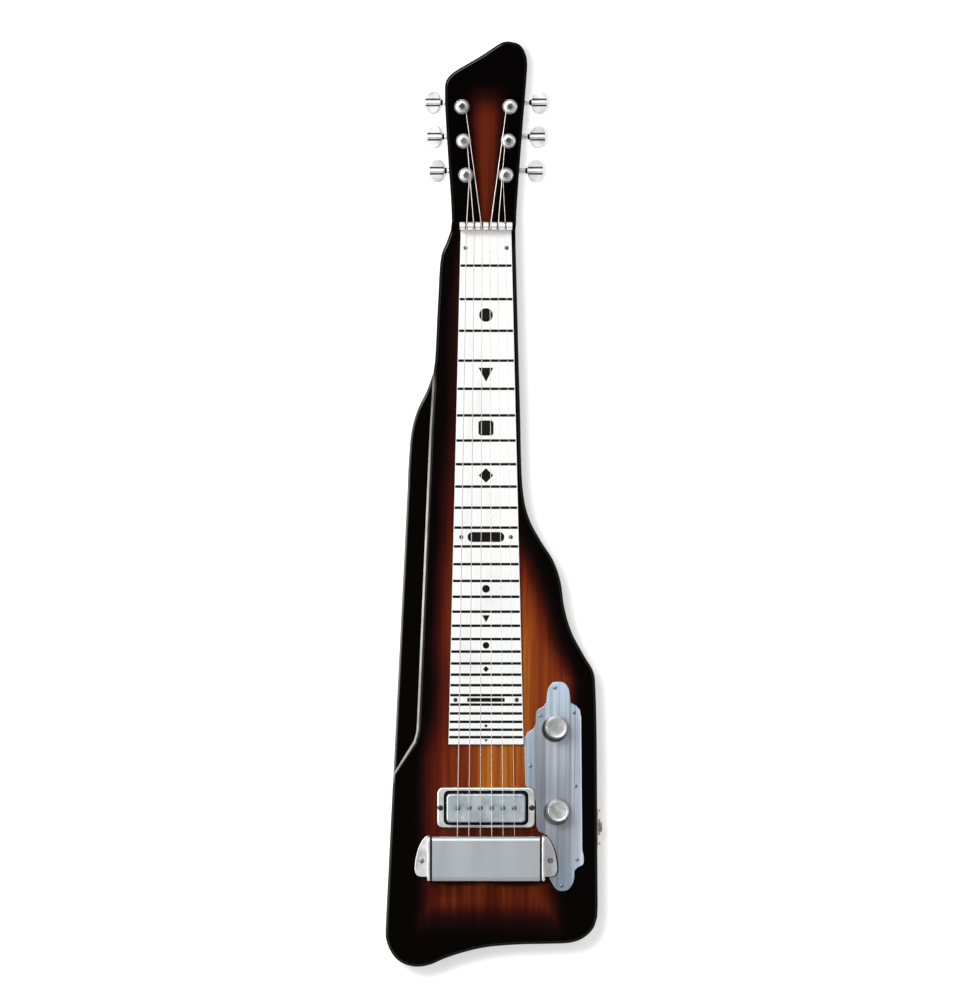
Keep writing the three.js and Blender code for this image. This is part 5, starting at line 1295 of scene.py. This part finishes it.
def knob():
    """A chromed knob: a tapered, finely fluted side and a slightly dished top."""
    levels = []
    for height, radius, depth in KNOB_LEVELS:
        crests, valleys = [circle(0, 0, reach, KNOB_SIDES) for reach in (radius, radius - depth)]
        outline = [valleys[index] if index % 4 < 2 else crests[index] for index in range(KNOB_SIDES)]
        levels.append((outline, height))
    return coated(cut(stacked(levels), turned(KNOB_RECESS, 40)), "knob")


def add_controls():
    lower, tongue, left = [
        smooth([on_plate(pair) for pair in shares], 4)
        for shares in (PLATE_LOBE_SHARES, PLATE_TONGUE_SHARES, PLATE_LEFT_SHARES)]
    right = [on_plate(pair) for pair in PLATE_RIGHT_SHARES]
    inner = [on_plate(pair) for pair in PLATE_INNER_SHARES]
    outline = [*lower, *right[1:], *tongue[1:], *left[1:], *inner[1:-1]]
    plate = slab(outline, DECK, PLATE_TOP, 0.35, 0.0, 3)
    ear = inset(ear_outline(1, 3.0, EAR_REACH + 0.6, 0.6), -0.5)
    length, width, corner = RING
    window = rounded(0, PICKUP_Y, length + 2 * RING_SPARE, width + 2 * RING_SPARE, corner)
    cut(plate, slab(window, DECK - 1, PLATE_TOP + 1), slab(ear, DECK - 1, PLATE_TOP + 1))
    place_on(coated(plate, "plate"), "control_panel", "brushed", "control_plate")
    places = [(*on_plate(pair), PLATE_TOP) for pair in PLATE_SCREW_SHARES]
    add_screws("plate_screw", places, FINE_SCREW, "screw", 0.0, 0.6)
    for name, pair in KNOB_SHARES.items():
        x, y = on_plate(pair)
        cap = moved(knob(), x, y)
        place_on(cap, f"{name}_control_knob", "chrome", f"{name}_knob", body=f"{name}_control")
        nut = slab(circle(x, y, PANEL_NUT, 6), PLATE_TOP, PLATE_TOP + PANEL_NUT_HEIGHT, 0.3, 0.0, 2)
        cut(nut, slab(circle(x, y, SHAFT_HOLE, 32), PLATE_TOP - 1, PLATE_TOP + 3))
        place_on(coated(nut, "can"), f"{name}_panel_nut", "steel")


# Jack on the treble side, drawn upright
JACK_PLATE = 1.6
JACK_SCREW_OFFSET = 15
BARREL_HOLE, NUT_HOLE = 5, 4.75
JACK_NUT, JACK_NUT_HEIGHT = 7.4, 2
BARREL = (
    (0, -20), (8.5, -20, 0.6), (8.5, 0, 0.3), (4.7, 0), (4.7, 5.2, 0.3), (3.3, 5.2, 0.3), (3.3, -19),
    (0, -19),
)


def add_jack():
    plate = slab(rounded(0, 0, *JACK_FACE, 8), 0, JACK_PLATE, 0.5, 0.0, 4)
    cut(plate, slab(circle(0, 0, BARREL_HOLE, 32), -1, 3))
    barrel = turned(BARREL, 40)
    nut = slab(circle(0, 0, JACK_NUT, 6), 0, JACK_NUT_HEIGHT, 0.35, 0.0, 3)
    cut(nut, slab(circle(0, 0, NUT_HOLE, 32), -1, 3))
    for piece, seat, finish, name, slot, node in (
            (plate, 0.0, "knob", "jack_face", "chrome", "jack_plate"),
            (barrel, 0.0, "jack", "jack_barrel", "steel", "output_jack"),
            (nut, JACK_PLATE, "jack", "jack_hexagon", "chrome", "jack_nut")):
        moved(piece, JACK_SEAT + seat, JACK_Y, JACK_Z, ON_EDGE)
        place_on(coated(piece, finish), name, slot, node)
    places = [(JACK_SEAT + JACK_PLATE, JACK_Y + y, JACK_Z) for y in (-JACK_SCREW_OFFSET, JACK_SCREW_OFFSET)]
    add_screws("jack_screw", places, JACK_SCREW, "steel", 0.4, turn=ALONG_X)


bpy.context.scene.view_settings.view_transform = "Standard"
add_camera()
add_world()
add_floor()
for lamp in LAMPS:
    add_light(*lamp)
for node_name, node_finish in CARRIED.items():
    coated(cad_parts[node_name], node_finish)
add_body()
add_board_screws()
add_nut()
add_strings()
add_tuners()
add_pickup()
add_bridge_screws()
add_hand_rest()
add_controls()
add_jack()

bpy.context.view_layer.update()
